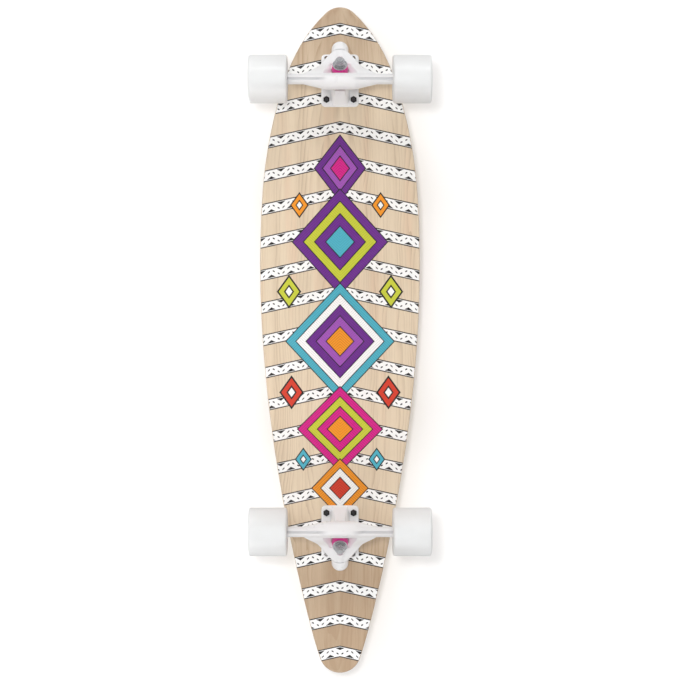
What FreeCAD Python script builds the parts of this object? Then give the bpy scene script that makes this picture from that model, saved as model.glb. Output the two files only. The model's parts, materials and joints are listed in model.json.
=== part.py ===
import FreeCAD, Part
import math
import os

# Pintail longboard: a deck of seven glued plies on two sprung trucks with four bearing wheels.
# Lengths are millimetres and angles are degrees. X runs to the nose, Y to the left, Z up from the floor,
# and the origin lies on the floor under the middle of the deck.

# Deck
DECK_LENGTH = 1016.0
DECK_WIDTH = 244.5
PLY_THICKNESS = 1.5
PLY_COUNT = 7
DECK_EDGE_RADIUS = 2.8
CAMBER_RISE = 8.0
NOSE_RADIUS = 30.5
TAIL_RADIUS = 31.8
# Poles of the outline's long curve: stations from the nose and half widths, as shares of length and half width
OUTLINE_SHARES = (
    (0.030, 0.364), (0.075, 0.598), (0.139, 0.780), (0.229, 0.943), (0.320, 0.995), (0.410, 1.006),
    (0.501, 0.974), (0.592, 0.904), (0.682, 0.801), (0.773, 0.668), (0.863, 0.509), (0.954, 0.322),
)
FRONT_BOLTS_FROM_NOSE = 115.0
REAR_BOLTS_FROM_TAIL = 218.0
TRUCK_PAD_LENGTH = 112.0

# Truck bolts
BOLT_SPACING_ACROSS = 41.28
BOLT_SPACING_ALONG = 53.98
LONG_BOLT_SPACING = 63.5
BOLT_DIAMETER = 4.8
BOLT_HOLE_DIAMETER = 5.5
BOLT_HEAD_DIAMETER = 9.4
BOLT_HEAD_SINK = 0.3
BOLT_SOCKET_FLATS = 3.2
BOLT_SOCKET_DEPTH = 2.2
BOLT_END_SHOW = 1.2
BOLT_NUT_FLATS = 9.0
BOLT_NUT_HEX_HEIGHT = 3.6
BOLT_NUT_COLLAR_HEIGHT = 1.6
BOLT_NUT_COLLAR_DIAMETER = 7.6

# Truck stance, measured from the bolt pattern's centre on the underside of the deck
AXLE_DROP = 68.0
AXLE_INBOARD = 4.0
STEER_ANGLE_DEG = 40.0
RING_DROP = 40.0
RING_OUTBOARD = 6.7

# Baseplate
PLATE_WIDTH = 57.0
PLATE_INNER_REACH = 38.0
PLATE_OUTER_REACH = 42.0
PLATE_THICKNESS = 6.0
PLATE_CORNER_RADIUS = 6.0
PLATE_EDGE_RADIUS = 1.5
SEAT_DIAMETER = 29.0
RIB_WIDTH = 16.0
RIB_FOOT_REACH = 36.0
TOWER_OUTER_REACH = 14.0
RECESS_LENGTH = 14.0
RECESS_WIDTH = 19.0
RECESS_DEPTH = 1.2
BOSS_DIAMETER = 26.0
BOSS_LENGTH = 10.4

# Pivot at the outer end of the steering axis
NOSE_REACH = 43.0
NOSE_DIAMETER = 24.0
NOSE_ROOT_DIAMETER = 29.0
NOSE_GAP = 1.2
PIVOT_BALL_DIAMETER = 9.0
PIVOT_BALL_DEPTH = 2.4
PIVOT_NECK_DIAMETER = 7.6
PIVOT_CUP_DIAMETER = 13.0
PIVOT_CUP_FLOOR = 1.2
PIVOT_CLEARANCE = 0.1

# Kingpin stack
KINGPIN_DIAMETER = 9.5
KINGPIN_CLEARANCE = 0.25
KINGPIN_GRIP = 16.0
KINGPIN_HEAD_FLATS = 12.0
KINGPIN_HEAD_HEIGHT = 6.0
KINGPIN_HEAD_CLEARANCE = 0.4
KINGPIN_END_SHOW = 2.0
KINGPIN_NUT_FLATS = 14.3
KINGPIN_NUT_HEX_HEIGHT = 6.6
KINGPIN_NUT_COLLAR_HEIGHT = 2.4
KINGPIN_NUT_COLLAR_DIAMETER = 13.0
BUSHING_DIAMETER = 24.6
BUSHING_END_DIAMETER = 22.6
BOARDSIDE_BUSHING_HEIGHT = 14.0
ROADSIDE_BUSHING_HEIGHT = 14.0
WASHER_THICKNESS = 2.0
BOARDSIDE_WASHER_DIAMETER = 25.0
ROADSIDE_WASHER_DIAMETER = 22.4
WASHER_LIP_WIDTH = 1.4
WASHER_DISH = 0.7

# Hanger
HANGER_LENGTH = 180.0
BAR_END_DIAMETER = 15.8
BELLY_DIAMETER = 23.7
BELLY_SHIFT = 3.9
BELLY_END_SINK = 0.3
BELLY_LENGTH = 44.0
BELLY_TAPER_LENGTH = 34.0
BAR_END_CHAMFER = 1.2
GROOVE_WIDTH = 4.0
GROOVE_DEPTH = 1.2
GROOVE_FADE = 0.7
GROOVE_END_MARGIN = 8.0
RING_THICKNESS = 8.0
RING_HOLE_DIAMETER = 16.0
CUP_DIAMETER = 26.4
CUP_DEPTH = 3.6
TROUGH_SLOPE_DEG = 45.0
TROUGH_INNER_REACH = 18.4
POCKET_REACH = 27.0
POCKET_TIP_WIDTH = 6.0
POCKET_FLOOR = 3.0
FRAME_WIDTH = 100.0
FRAME_ROAD_RISE = 22.0
FRAME_DECK_RISE = 7.5
FRAME_CORNER_RADIUS = 3.0
# Sections from the axle to the nose: station along the frame, half widths on the road side and on the deck
# side, and rises to the road and to the deck, as shares of the frame's length, half width and rises
FRAME_SHARES = (
    (0.00, 1.20, 1.24, 0.94, -1.10),
    (0.14, 1.02, 1.06, 0.92, -0.50),
    (0.30, 0.80, 0.86, 0.76, 0.50),
    (0.50, 0.63, 0.69, 0.52, 0.95),
    (0.70, 0.47, 0.54, 0.50, 0.88),
    (0.86, 0.33, 0.39, 0.50, 0.80),
    (1.00, 0.20, 0.24, 0.48, 0.55),
)

# Axle stack
AXLE_DIAMETER = 8.0
AXLE_END_SHOW = 2.0
AXLE_END_CHAMFER = 0.8
SPEED_RING_DIAMETER = 11.6
SPEED_RING_THICKNESS = 1.0
SPACER_DIAMETER = 11.0
SPACER_LENGTH = 10.0
AXLE_NUT_FLATS = 13.0
AXLE_NUT_HEX_HEIGHT = 5.6
AXLE_NUT_COLLAR_HEIGHT = 2.2
AXLE_NUT_COLLAR_DIAMETER = 11.6

# Bearings
BEARING_DIAMETER = 22.0
BEARING_WIDTH = 7.0
OUTER_RING_WALL = 1.4
INNER_RING_DIAMETER = 12.1
BALL_DIAMETER = 3.97
BALL_COUNT = 7
BALL_PITCH_DIAMETER = 15.4
RACE_CLEARANCE = 0.08
CAGE_WALL = 1.5
CAGE_WIDTH = 4.8
SHIELD_THICKNESS = 0.4
SHIELD_INSET = 0.3
SHIELD_GAP = 0.3

# Wheels
WHEEL_DIAMETER = 72.0
WHEEL_WIDTH = 58.0
WHEEL_OFFSET = 4.5
WHEEL_LIP_RADIUS = 4.0
WHEEL_MOUTH_DIAMETER = 50.0
CORE_DIAMETER = 37.0
CORE_WIDTH = 25.0
CORE_WEB_DIAMETER = 18.0
CORE_POCKET_COUNT = 10
CORE_POCKET_DIAMETER = 4.4
CORE_POCKET_DEPTH = 4.0

# Shared fits
FIT = 0.02
OVERRUN = 6.0

X_AXIS = FreeCAD.Vector(1, 0, 0)
Y_AXIS = FreeCAD.Vector(0, 1, 0)
Z_AXIS = FreeCAD.Vector(0, 0, 1)
ORIGIN = FreeCAD.Vector()

DECK_THICKNESS = PLY_THICKNESS * PLY_COUNT
DECK_UNDERSIDE = WHEEL_DIAMETER / 2 + AXLE_DROP
TRUCK_X = {
    "front": DECK_LENGTH / 2 - FRONT_BOLTS_FROM_NOSE,
    "rear": REAR_BOLTS_FROM_TAIL - DECK_LENGTH / 2,
}
SIDES = {"left": 1, "right": -1}


def point(x, y, z):
    return FreeCAD.Vector(x, y, z)


def placed(shape, placement):
    moved = shape.copy()
    moved.Placement = placement.multiply(moved.Placement)
    return moved


def cylinder(diameter, length, base=ORIGIN, direction=Z_AXIS):
    return Part.makeCylinder(diameter / 2, length, base, direction)


def hexagon(flats, height, base=ORIGIN):
    """Upright hexagonal prism with its base centre at a point."""
    radius = flats / math.sqrt(3)
    angles = [math.radians(60 * corner) for corner in range(6)]
    corners = [base + point(radius * math.cos(a), radius * math.sin(a), 0) for a in angles]
    return Part.Face(Part.makePolygon(corners + corners[:1])).extrude(Z_AXIS * height)


def lock_nut(flats, hex_height, collar_diameter, collar_height, bore):
    """Lock nut along +Z from its seat, with a round collar over the hexagon."""
    nut = hexagon(flats, hex_height)
    rounding = Part.makeCone(flats / 2 + hex_height, flats / 2, hex_height, ORIGIN, Z_AXIS)
    nut = nut.common(rounding.fuse(cylinder(2 * flats, hex_height - flats / 2 + collar_diameter / 2)))
    nut = nut.fuse(cylinder(collar_diameter, hex_height + collar_height))
    return nut.cut(cylinder(bore, hex_height + collar_height)).removeSplitter()


def revolved(profile, axis=Z_AXIS):
    """Solid of revolution of a closed list of edges about an axis through the origin."""
    return Part.Face(Part.Wire(profile)).revolve(ORIGIN, axis, 360)


def polygon_edges(corners):
    closed = corners + corners[:1]
    return [Part.LineSegment(a, b).toShape() for a, b in zip(closed, closed[1:])]


def prism(corners, direction):
    """Solid swept from a flat polygon to both sides by half of a direction vector."""
    face = Part.Face(Part.Wire(polygon_edges(corners)))
    face.translate(direction * -0.5)
    return face.extrude(direction)


def rounded_wire(corners, radius):
    """Closed wire through corners in one plane, each corner rounded by an arc."""
    edges = []
    starts = []
    ends = []
    middles = []
    for before, corner, after in zip(corners[-1:] + corners[:-1], corners, corners[1:] + corners[:1]):
        back = (before - corner).normalize()
        ahead = (after - corner).normalize()
        half = back.getAngle(ahead) / 2
        setback = radius / math.tan(half)
        bisector = (back + ahead).normalize()
        starts.append(corner + back * setback)
        ends.append(corner + ahead * setback)
        middles.append(corner + bisector * (radius / math.sin(half) - radius))
    for start, middle, end, onward in zip(starts, middles, ends, starts[1:] + starts[:1]):
        edges.append(Part.Arc(start, middle, end).toShape())
        edges.append(Part.LineSegment(end, onward).toShape())
    return Part.Wire(edges)


def save(node, shapes):
    """Writes one node from a single solid or from a group of separate solids."""
    solids = [solid for shape in shapes for solid in shape.Solids]
    shape = solids[0] if len(solids) == 1 else Part.makeCompound(solids)
    if not shape.isValid():
        raise ValueError(node + " is not a valid solid")
    shape.exportStep(os.path.join("parts", node + ".step"))


# Deck


def camber_edges(height):
    """Side profile at a height over the underside: flat pads under the trucks and an arch between them."""
    start = TRUCK_X["rear"] + TRUCK_PAD_LENGTH / 2
    end = TRUCK_X["front"] - TRUCK_PAD_LENGTH / 2
    middle = (start + end) / 2
    half = (end - start) / 2
    radius = (half ** 2 + CAMBER_RISE ** 2) / (4 * CAMBER_RISE)
    sweep = math.asin(half / (2 * radius))
    floor = DECK_UNDERSIDE
    hollow = radius - height
    crown = radius + height

    def hollow_point(centre_x, angle):
        return point(centre_x + hollow * math.sin(angle), 0, floor + radius - hollow * math.cos(angle))

    def crown_point(angle):
        return point(middle + crown * math.sin(angle), 0, floor + CAMBER_RISE - radius + crown * math.cos(angle))

    reach = DECK_LENGTH / 2 + OVERRUN
    tail = point(-reach, 0, floor + height)
    nose = point(reach, 0, floor + height)
    return [
        Part.LineSegment(tail, hollow_point(start, 0)).toShape(),
        Part.Arc(hollow_point(start, 0), hollow_point(start, sweep / 2), hollow_point(start, sweep)).toShape(),
        Part.Arc(crown_point(-sweep), crown_point(0), crown_point(sweep)).toShape(),
        Part.Arc(hollow_point(end, -sweep), hollow_point(end, -sweep / 2), hollow_point(end, 0)).toShape(),
        Part.LineSegment(hollow_point(end, 0), nose).toShape(),
    ]


def camber_band(lower, upper):
    """Wide sheet that follows the camber between two heights over the deck's underside."""
    low_edges = camber_edges(lower)
    high_edges = camber_edges(upper)
    reach = DECK_LENGTH / 2 + OVERRUN
    caps = [
        Part.LineSegment(
            point(x, 0, DECK_UNDERSIDE + lower), point(x, 0, DECK_UNDERSIDE + upper)
        ).toShape()
        for x in (-reach, reach)
    ]
    face = Part.Face(Part.Wire(Part.__sortEdges__(low_edges + high_edges + caps)))
    width = Y_AXIS * (DECK_WIDTH + 2 * OVERRUN)
    face.translate(width * -0.5)
    return face.extrude(width)


def tip_turn(radius, along, across):
    """Angle of a tip's arc, up to the tangent that runs to the first pole past it."""
    reach = math.hypot(along - radius, across)
    return math.pi - math.atan2(across, along - radius) - math.acos(radius / reach)


def outline_side(side):
    """One long side of the deck's outline: a spline that leaves the round nose and tail along tangents."""
    half_length = DECK_LENGTH / 2
    stations = [(station * DECK_LENGTH, width * DECK_WIDTH / 2) for station, width in OUTLINE_SHARES]
    nose_turn = tip_turn(NOSE_RADIUS, *stations[0])
    tail_turn = tip_turn(TAIL_RADIUS, DECK_LENGTH - stations[-1][0], stations[-1][1])
    nose_end = point(
        half_length - NOSE_RADIUS * (1 - math.cos(nose_turn)), side * NOSE_RADIUS * math.sin(nose_turn), 0
    )
    tail_end = point(
        TAIL_RADIUS * (1 - math.cos(tail_turn)) - half_length, side * TAIL_RADIUS * math.sin(tail_turn), 0
    )
    between = [point(half_length - along, side * across, 0) for along, across in stations]
    curve = Part.BSplineCurve()
    curve.buildFromPoles([nose_end] + between + [tail_end])
    return nose_end, curve.toShape(), tail_end


def deck_blank():
    """Whole deck with rounded edges and countersunk bolt holes, before it is parted into plies."""
    nose_left, left_edge, tail_left = outline_side(1)
    nose_right, right_edge, tail_right = outline_side(-1)
    nose_tip = point(DECK_LENGTH / 2, 0, 0)
    tail_tip = point(-DECK_LENGTH / 2, 0, 0)
    rim = [
        Part.Arc(nose_left, nose_tip, nose_right).toShape(),
        right_edge,
        Part.Arc(tail_right, tail_tip, tail_left).toShape(),
        left_edge,
    ]
    outline = Part.Face(Part.Wire(Part.__sortEdges__(rim)))
    outline.translate(Z_AXIS * (DECK_UNDERSIDE - OVERRUN))
    prism_height = DECK_THICKNESS + CAMBER_RISE + 2 * OVERRUN
    blank = camber_band(0, DECK_THICKNESS).common(outline.extrude(Z_AXIS * prism_height)).Solids[0]
    rim_edges = []
    for edge in blank.Edges:
        upright = edge.BoundBox.ZLength > DECK_THICKNESS * 0.9 and edge.Length < DECK_THICKNESS * 1.2
        straight = isinstance(edge.Curve, (Part.Line, Part.LineSegment))
        if not upright and not straight:
            rim_edges.append(edge)
    blank = blank.makeFillet(DECK_EDGE_RADIUS, rim_edges)
    top = DECK_UNDERSIDE + DECK_THICKNESS
    sink_depth = BOLT_HEAD_SINK + (BOLT_HEAD_DIAMETER - BOLT_HOLE_DIAMETER) / 2
    for centre in TRUCK_X.values():
        for x, y in bolt_places():
            hole = point(centre + x, y, DECK_UNDERSIDE - OVERRUN)
            blank = blank.cut(cylinder(BOLT_HOLE_DIAMETER, DECK_THICKNESS + 2 * OVERRUN, hole))
            mouth = Part.makeCone(
                BOLT_HEAD_DIAMETER / 2 + BOLT_HEAD_SINK - sink_depth,
                BOLT_HEAD_DIAMETER / 2 + BOLT_HEAD_SINK + OVERRUN,
                sink_depth + OVERRUN,
                point(centre + x, y, top - sink_depth),
                Z_AXIS,
            )
            blank = blank.cut(mouth)
    return blank


def bolt_places():
    return [
        (x * BOLT_SPACING_ALONG / 2, y * BOLT_SPACING_ACROSS / 2) for x in (-1, 1) for y in (-1, 1)
    ]


def ply_name(number):
    if number == 0:
        return "deck_bottom_veneer"
    if number == PLY_COUNT - 1:
        return "deck_top_veneer"
    return "deck_ply_%d" % (PLY_COUNT - number)


def save_deck():
    blank = deck_blank()
    for number in range(PLY_COUNT):
        lower = number * PLY_THICKNESS if number else -OVERRUN
        upper = (number + 1) * PLY_THICKNESS if number < PLY_COUNT - 1 else DECK_THICKNESS + OVERRUN
        save(ply_name(number), [blank.common(camber_band(lower, upper))])


# Truck frames. The truck's own frame has X outboard, Y across and Z up from the deck's underside.
# The steering frame is at the hanger's ring: X runs up the steering axis to the pivot, Z up the kingpin.

STEER_FRAME = FreeCAD.Placement(
    point(RING_OUTBOARD, 0, -RING_DROP), FreeCAD.Rotation(Y_AXIS, -STEER_ANGLE_DEG)
)
AXLE_IN_TRUCK = point(-AXLE_INBOARD, 0, -AXLE_DROP)
AXLE_IN_STEER = STEER_FRAME.inverse().multVec(AXLE_IN_TRUCK)
TRUCK_FRAMES = {
    "front": FreeCAD.Placement(point(TRUCK_X["front"], 0, DECK_UNDERSIDE), FreeCAD.Rotation()),
    "rear": FreeCAD.Placement(point(TRUCK_X["rear"], 0, DECK_UNDERSIDE), FreeCAD.Rotation(Z_AXIS, 180)),
}

RING_HALF = RING_THICKNESS / 2
BOARDSIDE_WASHER_Z = RING_HALF + BOARDSIDE_BUSHING_HEIGHT
SEAT_Z = BOARDSIDE_WASHER_Z + WASHER_THICKNESS
KINGPIN_HEAD_Z = SEAT_Z + KINGPIN_GRIP
ROADSIDE_WASHER_Z = -RING_HALF - ROADSIDE_BUSHING_HEIGHT
KINGPIN_NUT_Z = ROADSIDE_WASHER_Z - WASHER_THICKNESS
KINGPIN_NUT_HEIGHT = KINGPIN_NUT_HEX_HEIGHT + KINGPIN_NUT_COLLAR_HEIGHT
KINGPIN_END_Z = KINGPIN_NUT_Z - KINGPIN_NUT_HEIGHT - KINGPIN_END_SHOW
BOSS_MOUTH_X = NOSE_REACH + NOSE_GAP
PIVOT_BALL_X = BOSS_MOUTH_X + PIVOT_BALL_DEPTH
PIVOT_CUP_END_X = PIVOT_BALL_X + PIVOT_BALL_DIAMETER / 2 + PIVOT_CUP_FLOOR


def in_truck(shape):
    return placed(shape, STEER_FRAME)


def steer_point(x, z):
    return STEER_FRAME.multVec(point(x, 0, z))


def baseplate():
    """Cast plate with the kingpin's leaning tower, a back rib and the round pivot boss at its outer end."""
    length = PLATE_INNER_REACH + PLATE_OUTER_REACH
    corner = point(-PLATE_INNER_REACH, -PLATE_WIDTH / 2, -PLATE_THICKNESS)
    plate = Part.makeBox(length, PLATE_WIDTH, PLATE_THICKNESS, corner)
    uprights = [e for e in plate.Edges if e.BoundBox.ZLength > PLATE_THICKNESS / 2]
    plate = plate.makeFillet(PLATE_CORNER_RADIUS, uprights)
    road_edges = [e for e in plate.Edges if e.BoundBox.ZMax < -PLATE_THICKNESS / 2]
    plate = plate.makeFillet(PLATE_EDGE_RADIUS, road_edges)
    recess_corners = [
        point(-PLATE_INNER_REACH - OVERRUN, -RECESS_WIDTH / 2 - OVERRUN, -PLATE_THICKNESS),
        point(RECESS_LENGTH - PLATE_INNER_REACH, -RECESS_WIDTH / 2, -PLATE_THICKNESS),
        point(RECESS_LENGTH - PLATE_INNER_REACH, RECESS_WIDTH / 2, -PLATE_THICKNESS),
        point(-PLATE_INNER_REACH - OVERRUN, RECESS_WIDTH / 2 + OVERRUN, -PLATE_THICKNESS),
    ]
    plate = plate.cut(prism(recess_corners, Z_AXIS * (2 * RECESS_DEPTH)))
    wedge = [
        point(-RIB_FOOT_REACH, 0, 0),
        point(-RIB_FOOT_REACH, 0, -PLATE_THICKNESS + RECESS_DEPTH),
        steer_point(-SEAT_DIAMETER / 2, SEAT_Z),
        steer_point(SEAT_DIAMETER / 2, SEAT_Z),
        point(TOWER_OUTER_REACH, 0, -PLATE_THICKNESS),
        point(TOWER_OUTER_REACH, 0, 0),
    ]
    column = in_truck(cylinder(SEAT_DIAMETER, PLATE_WIDTH, point(0, 0, SEAT_Z)))
    tower = prism(wedge, Y_AXIS * SEAT_DIAMETER).common(column)
    rib = prism(wedge, Y_AXIS * RIB_WIDTH)
    boss = cylinder(BOSS_DIAMETER, BOSS_LENGTH, point(BOSS_MOUTH_X, 0, 0), X_AXIS)
    dome = Part.makeSphere(BOSS_DIAMETER / 2, point(BOSS_MOUTH_X + BOSS_LENGTH, 0, 0))
    casting = plate.fuse([tower, rib, in_truck(boss.fuse(dome))])
    over_deck = Part.makeBox(
        4 * length, 4 * PLATE_WIDTH, 4 * length, point(-2 * length, -2 * PLATE_WIDTH, 0)
    )
    casting = casting.cut(over_deck)
    relief_diameter = NOSE_DIAMETER + 2 * NOSE_GAP
    relief = cylinder(relief_diameter, NOSE_REACH, point(BOSS_MOUTH_X - NOSE_REACH, 0, 0), X_AXIS)
    cup_depth = PIVOT_CUP_END_X - BOSS_MOUTH_X
    cup_seat = cylinder(PIVOT_CUP_DIAMETER + 2 * FIT, cup_depth, point(BOSS_MOUTH_X, 0, 0), X_AXIS)
    shank = cylinder(KINGPIN_DIAMETER + 2 * FIT, KINGPIN_GRIP + 2 * OVERRUN, point(0, 0, SEAT_Z - OVERRUN))
    head_pocket = cylinder(
        2 * (KINGPIN_HEAD_FLATS / math.sqrt(3) + KINGPIN_HEAD_CLEARANCE), PLATE_WIDTH, point(0, 0, KINGPIN_HEAD_Z)
    )
    casting = casting.cut([in_truck(cut) for cut in (relief, cup_seat, shank, head_pocket)])
    spare_x = LONG_BOLT_SPACING - BOLT_SPACING_ALONG / 2
    spare = [(spare_x, y * BOLT_SPACING_ACROSS / 2) for y in (-1, 1)]
    for x, y in bolt_places() + spare:
        hole = point(x, y, -PLATE_THICKNESS - OVERRUN)
        casting = casting.cut(cylinder(BOLT_HOLE_DIAMETER, PLATE_THICKNESS + 2 * OVERRUN, hole))
    return casting.removeSplitter()


def pivot_cup():
    """Urethane cup pressed into the boss, hollowed for the ball at the hanger's nose."""
    length = PIVOT_CUP_END_X - BOSS_MOUTH_X
    cup = cylinder(PIVOT_CUP_DIAMETER, length, point(BOSS_MOUTH_X, 0, 0), X_AXIS)
    hollow_diameter = PIVOT_BALL_DIAMETER + 2 * PIVOT_CLEARANCE
    mouth = cylinder(
        hollow_diameter, PIVOT_BALL_DEPTH + OVERRUN, point(BOSS_MOUTH_X - OVERRUN, 0, 0), X_AXIS
    )
    hollow = Part.makeSphere(hollow_diameter / 2, point(PIVOT_BALL_X, 0, 0))
    return cup.cut(mouth.fuse(hollow))


def kingpin():
    """Bolt with its hexagon head in the baseplate and its thread end past the nut."""
    shank = cylinder(KINGPIN_DIAMETER, KINGPIN_HEAD_Z - KINGPIN_END_Z, point(0, 0, KINGPIN_END_Z))
    tip_edges = [e for e in shank.Edges if e.BoundBox.ZMax < KINGPIN_END_Z + KINGPIN_END_SHOW / 2]
    shank = shank.makeChamfer(KINGPIN_END_SHOW / 3, tip_edges)
    return shank.fuse(hexagon(KINGPIN_HEAD_FLATS, KINGPIN_HEAD_HEIGHT, point(0, 0, KINGPIN_HEAD_Z)))


def bushing(base, height):
    """Barrel of urethane along the kingpin, bulged between its two ends."""
    inner = KINGPIN_DIAMETER / 2 + KINGPIN_CLEARANCE
    end = BUSHING_END_DIAMETER / 2
    barrel = Part.Arc(
        point(end, 0, base), point(BUSHING_DIAMETER / 2, 0, base + height / 2), point(end, 0, base + height)
    ).toShape()
    rest = [
        Part.LineSegment(point(end, 0, base + height), point(inner, 0, base + height)).toShape(),
        Part.LineSegment(point(inner, 0, base + height), point(inner, 0, base)).toShape(),
        Part.LineSegment(point(inner, 0, base), point(end, 0, base)).toShape(),
    ]
    return revolved([barrel] + rest)


def washer(diameter, base, dish_side):
    """Cupped washer, with its dish on the side that is away from the bushing."""
    disc = cylinder(diameter, WASHER_THICKNESS, point(0, 0, base))
    dish_base = base + WASHER_THICKNESS - WASHER_DISH if dish_side > 0 else base - OVERRUN
    dish = cylinder(diameter - 2 * WASHER_LIP_WIDTH, WASHER_DISH + OVERRUN, point(0, 0, dish_base))
    middle_diameter = KINGPIN_NUT_FLATS * 2 / math.sqrt(3) + WASHER_LIP_WIDTH
    middle = cylinder(middle_diameter, WASHER_THICKNESS, point(0, 0, base))
    hole = cylinder(
        KINGPIN_DIAMETER + 2 * KINGPIN_CLEARANCE, WASHER_THICKNESS + 2 * OVERRUN, point(0, 0, base - OVERRUN)
    )
    return disc.cut(dish).fuse(middle).cut(hole).removeSplitter()


def kingpin_nut():
    nut = lock_nut(
        KINGPIN_NUT_FLATS, KINGPIN_NUT_HEX_HEIGHT, KINGPIN_NUT_COLLAR_DIAMETER, KINGPIN_NUT_COLLAR_HEIGHT,
        KINGPIN_DIAMETER + 2 * FIT,
    )
    turned = FreeCAD.Placement(point(0, 0, KINGPIN_NUT_Z), FreeCAD.Rotation(X_AXIS, 180))
    return placed(nut, turned)


def frame_section(shares):
    """Rounded trapezium across the hanger's A-frame, wider on the deck side."""
    station, road_half, deck_half, road_rise, deck_rise = shares
    x = AXLE_IN_STEER.x + station * (NOSE_REACH - AXLE_IN_STEER.x)
    road_z = -FRAME_ROAD_RISE * road_rise
    deck_z = FRAME_DECK_RISE * deck_rise
    road_y = FRAME_WIDTH / 2 * road_half
    deck_y = FRAME_WIDTH / 2 * deck_half
    corners = [
        point(x, -road_y, road_z), point(x, road_y, road_z), point(x, deck_y, deck_z), point(x, -deck_y, deck_z)
    ]
    return rounded_wire(corners, FRAME_CORNER_RADIUS)


BELLY_SHOULDER = BELLY_LENGTH / 2
BELLY_END = BELLY_SHOULDER + BELLY_TAPER_LENGTH
BELLY_END_RADIUS = BAR_END_DIAMETER / 2 - BELLY_SHIFT - BELLY_END_SINK


def axle_bar():
    """Round bar about the axle, with a belly to the inner side that tapers off towards both ends."""
    end = HANGER_LENGTH / 2
    end_radius = BAR_END_DIAMETER / 2
    rod_corners = [
        point(0, -end, 0),
        point(end_radius - BAR_END_CHAMFER, -end, 0),
        point(end_radius, -end + BAR_END_CHAMFER, 0),
        point(end_radius, end - BAR_END_CHAMFER, 0),
        point(end_radius - BAR_END_CHAMFER, end, 0),
        point(0, end, 0),
    ]
    belly_corners = [
        point(0, -BELLY_END, 0),
        point(BELLY_END_RADIUS, -BELLY_END, 0),
        point(BELLY_DIAMETER / 2, -BELLY_SHOULDER, 0),
        point(BELLY_DIAMETER / 2, BELLY_SHOULDER, 0),
        point(BELLY_END_RADIUS, BELLY_END, 0),
        point(0, BELLY_END, 0),
    ]
    rod = revolved(polygon_edges(rod_corners), Y_AXIS)
    belly = revolved(polygon_edges(belly_corners), Y_AXIS)
    belly.translate(STEER_FRAME.Rotation.inverted().multVec(X_AXIS * -BELLY_SHIFT))
    bar = rod.fuse(belly)
    bar.translate(AXLE_IN_STEER)
    return bar


def bar_grooves():
    """Two shallow lines along the road face of the bar, in the truck's own frame."""
    far = HANGER_LENGTH / 2 - GROOVE_END_MARGIN
    rod_drop = BAR_END_DIAMETER / 2
    belly_drop = math.sqrt((BELLY_DIAMETER / 2) ** 2 - BELLY_SHIFT ** 2)
    parting_radius = math.hypot(rod_drop, BELLY_SHIFT)
    parting_share = (parting_radius - BELLY_END_RADIUS) / (BELLY_DIAMETER / 2 - BELLY_END_RADIUS)
    parting = BELLY_END - parting_share * BELLY_TAPER_LENGTH
    below = -BELLY_DIAMETER / 2 - OVERRUN
    grooves = []
    for side in SIDES.values():
        corners = [
            point(0, side * BELLY_SHOULDER, -belly_drop - GROOVE_FADE),
            point(0, side * parting, GROOVE_DEPTH - rod_drop),
            point(0, side * far, GROOVE_DEPTH - rod_drop),
            point(0, side * far, below),
            point(0, side * BELLY_SHOULDER, below),
        ]
        groove = prism(corners, X_AXIS * GROOVE_WIDTH)
        groove.translate(AXLE_IN_TRUCK)
        grooves.append(groove)
    return grooves


def hanger():
    """Cast A-frame from the axle bar to the pivot nose, with a bushing cup on each side of its ring."""
    frame = Part.makeLoft([frame_section(shares) for shares in FRAME_SHARES], True)
    nose = Part.makeCone(NOSE_ROOT_DIAMETER / 2, NOSE_DIAMETER / 2, NOSE_REACH, ORIGIN, X_AXIS)
    neck = cylinder(PIVOT_NECK_DIAMETER, PIVOT_BALL_X - NOSE_REACH, point(NOSE_REACH, 0, 0), X_AXIS)
    ball = Part.makeSphere(PIVOT_BALL_DIAMETER / 2, point(PIVOT_BALL_X, 0, 0))
    casting = frame.fuse([axle_bar(), nose, neck, ball])
    deep = FRAME_WIDTH
    road_cup = cylinder(CUP_DIAMETER, deep, point(0, 0, -RING_HALF), Z_AXIS * -1)
    deck_cup = cylinder(CUP_DIAMETER, deep, point(0, 0, RING_HALF))
    hole = cylinder(RING_HOLE_DIAMETER, 2 * deep, point(0, 0, -deep))
    pocket_top = -RING_HALF - POCKET_FLOOR
    pocket_corners = [
        point(0, -CUP_DIAMETER / 2, pocket_top), point(POCKET_REACH, -POCKET_TIP_WIDTH / 2, pocket_top),
        point(POCKET_REACH, POCKET_TIP_WIDTH / 2, pocket_top), point(0, CUP_DIAMETER / 2, pocket_top),
    ]
    pocket = Part.Face(Part.Wire(polygon_edges(pocket_corners))).extrude(Z_AXIS * -deep)
    trough_top = -RING_HALF - CUP_DEPTH
    spread = CUP_DIAMETER / 2 + deep * math.tan(math.radians(TROUGH_SLOPE_DEG))
    trough_middle = (CUP_DIAMETER / 2 - TROUGH_INNER_REACH) / 2
    trough_corners = [
        point(trough_middle, -CUP_DIAMETER / 2, trough_top), point(trough_middle, CUP_DIAMETER / 2, trough_top),
        point(trough_middle, spread, trough_top - deep), point(trough_middle, -spread, trough_top - deep),
    ]
    trough = prism(trough_corners, X_AXIS * (CUP_DIAMETER / 2 + TROUGH_INNER_REACH))
    axle_bore = cylinder(
        AXLE_DIAMETER + 2 * FIT, HANGER_LENGTH + 2 * OVERRUN,
        AXLE_IN_STEER - Y_AXIS * (HANGER_LENGTH / 2 + OVERRUN), Y_AXIS,
    )
    casting = casting.cut([road_cup, deck_cup, hole, pocket, trough, axle_bore])
    return in_truck(casting).cut(bar_grooves()).removeSplitter()


# Axle stack, outwards from the hanger's end

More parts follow.
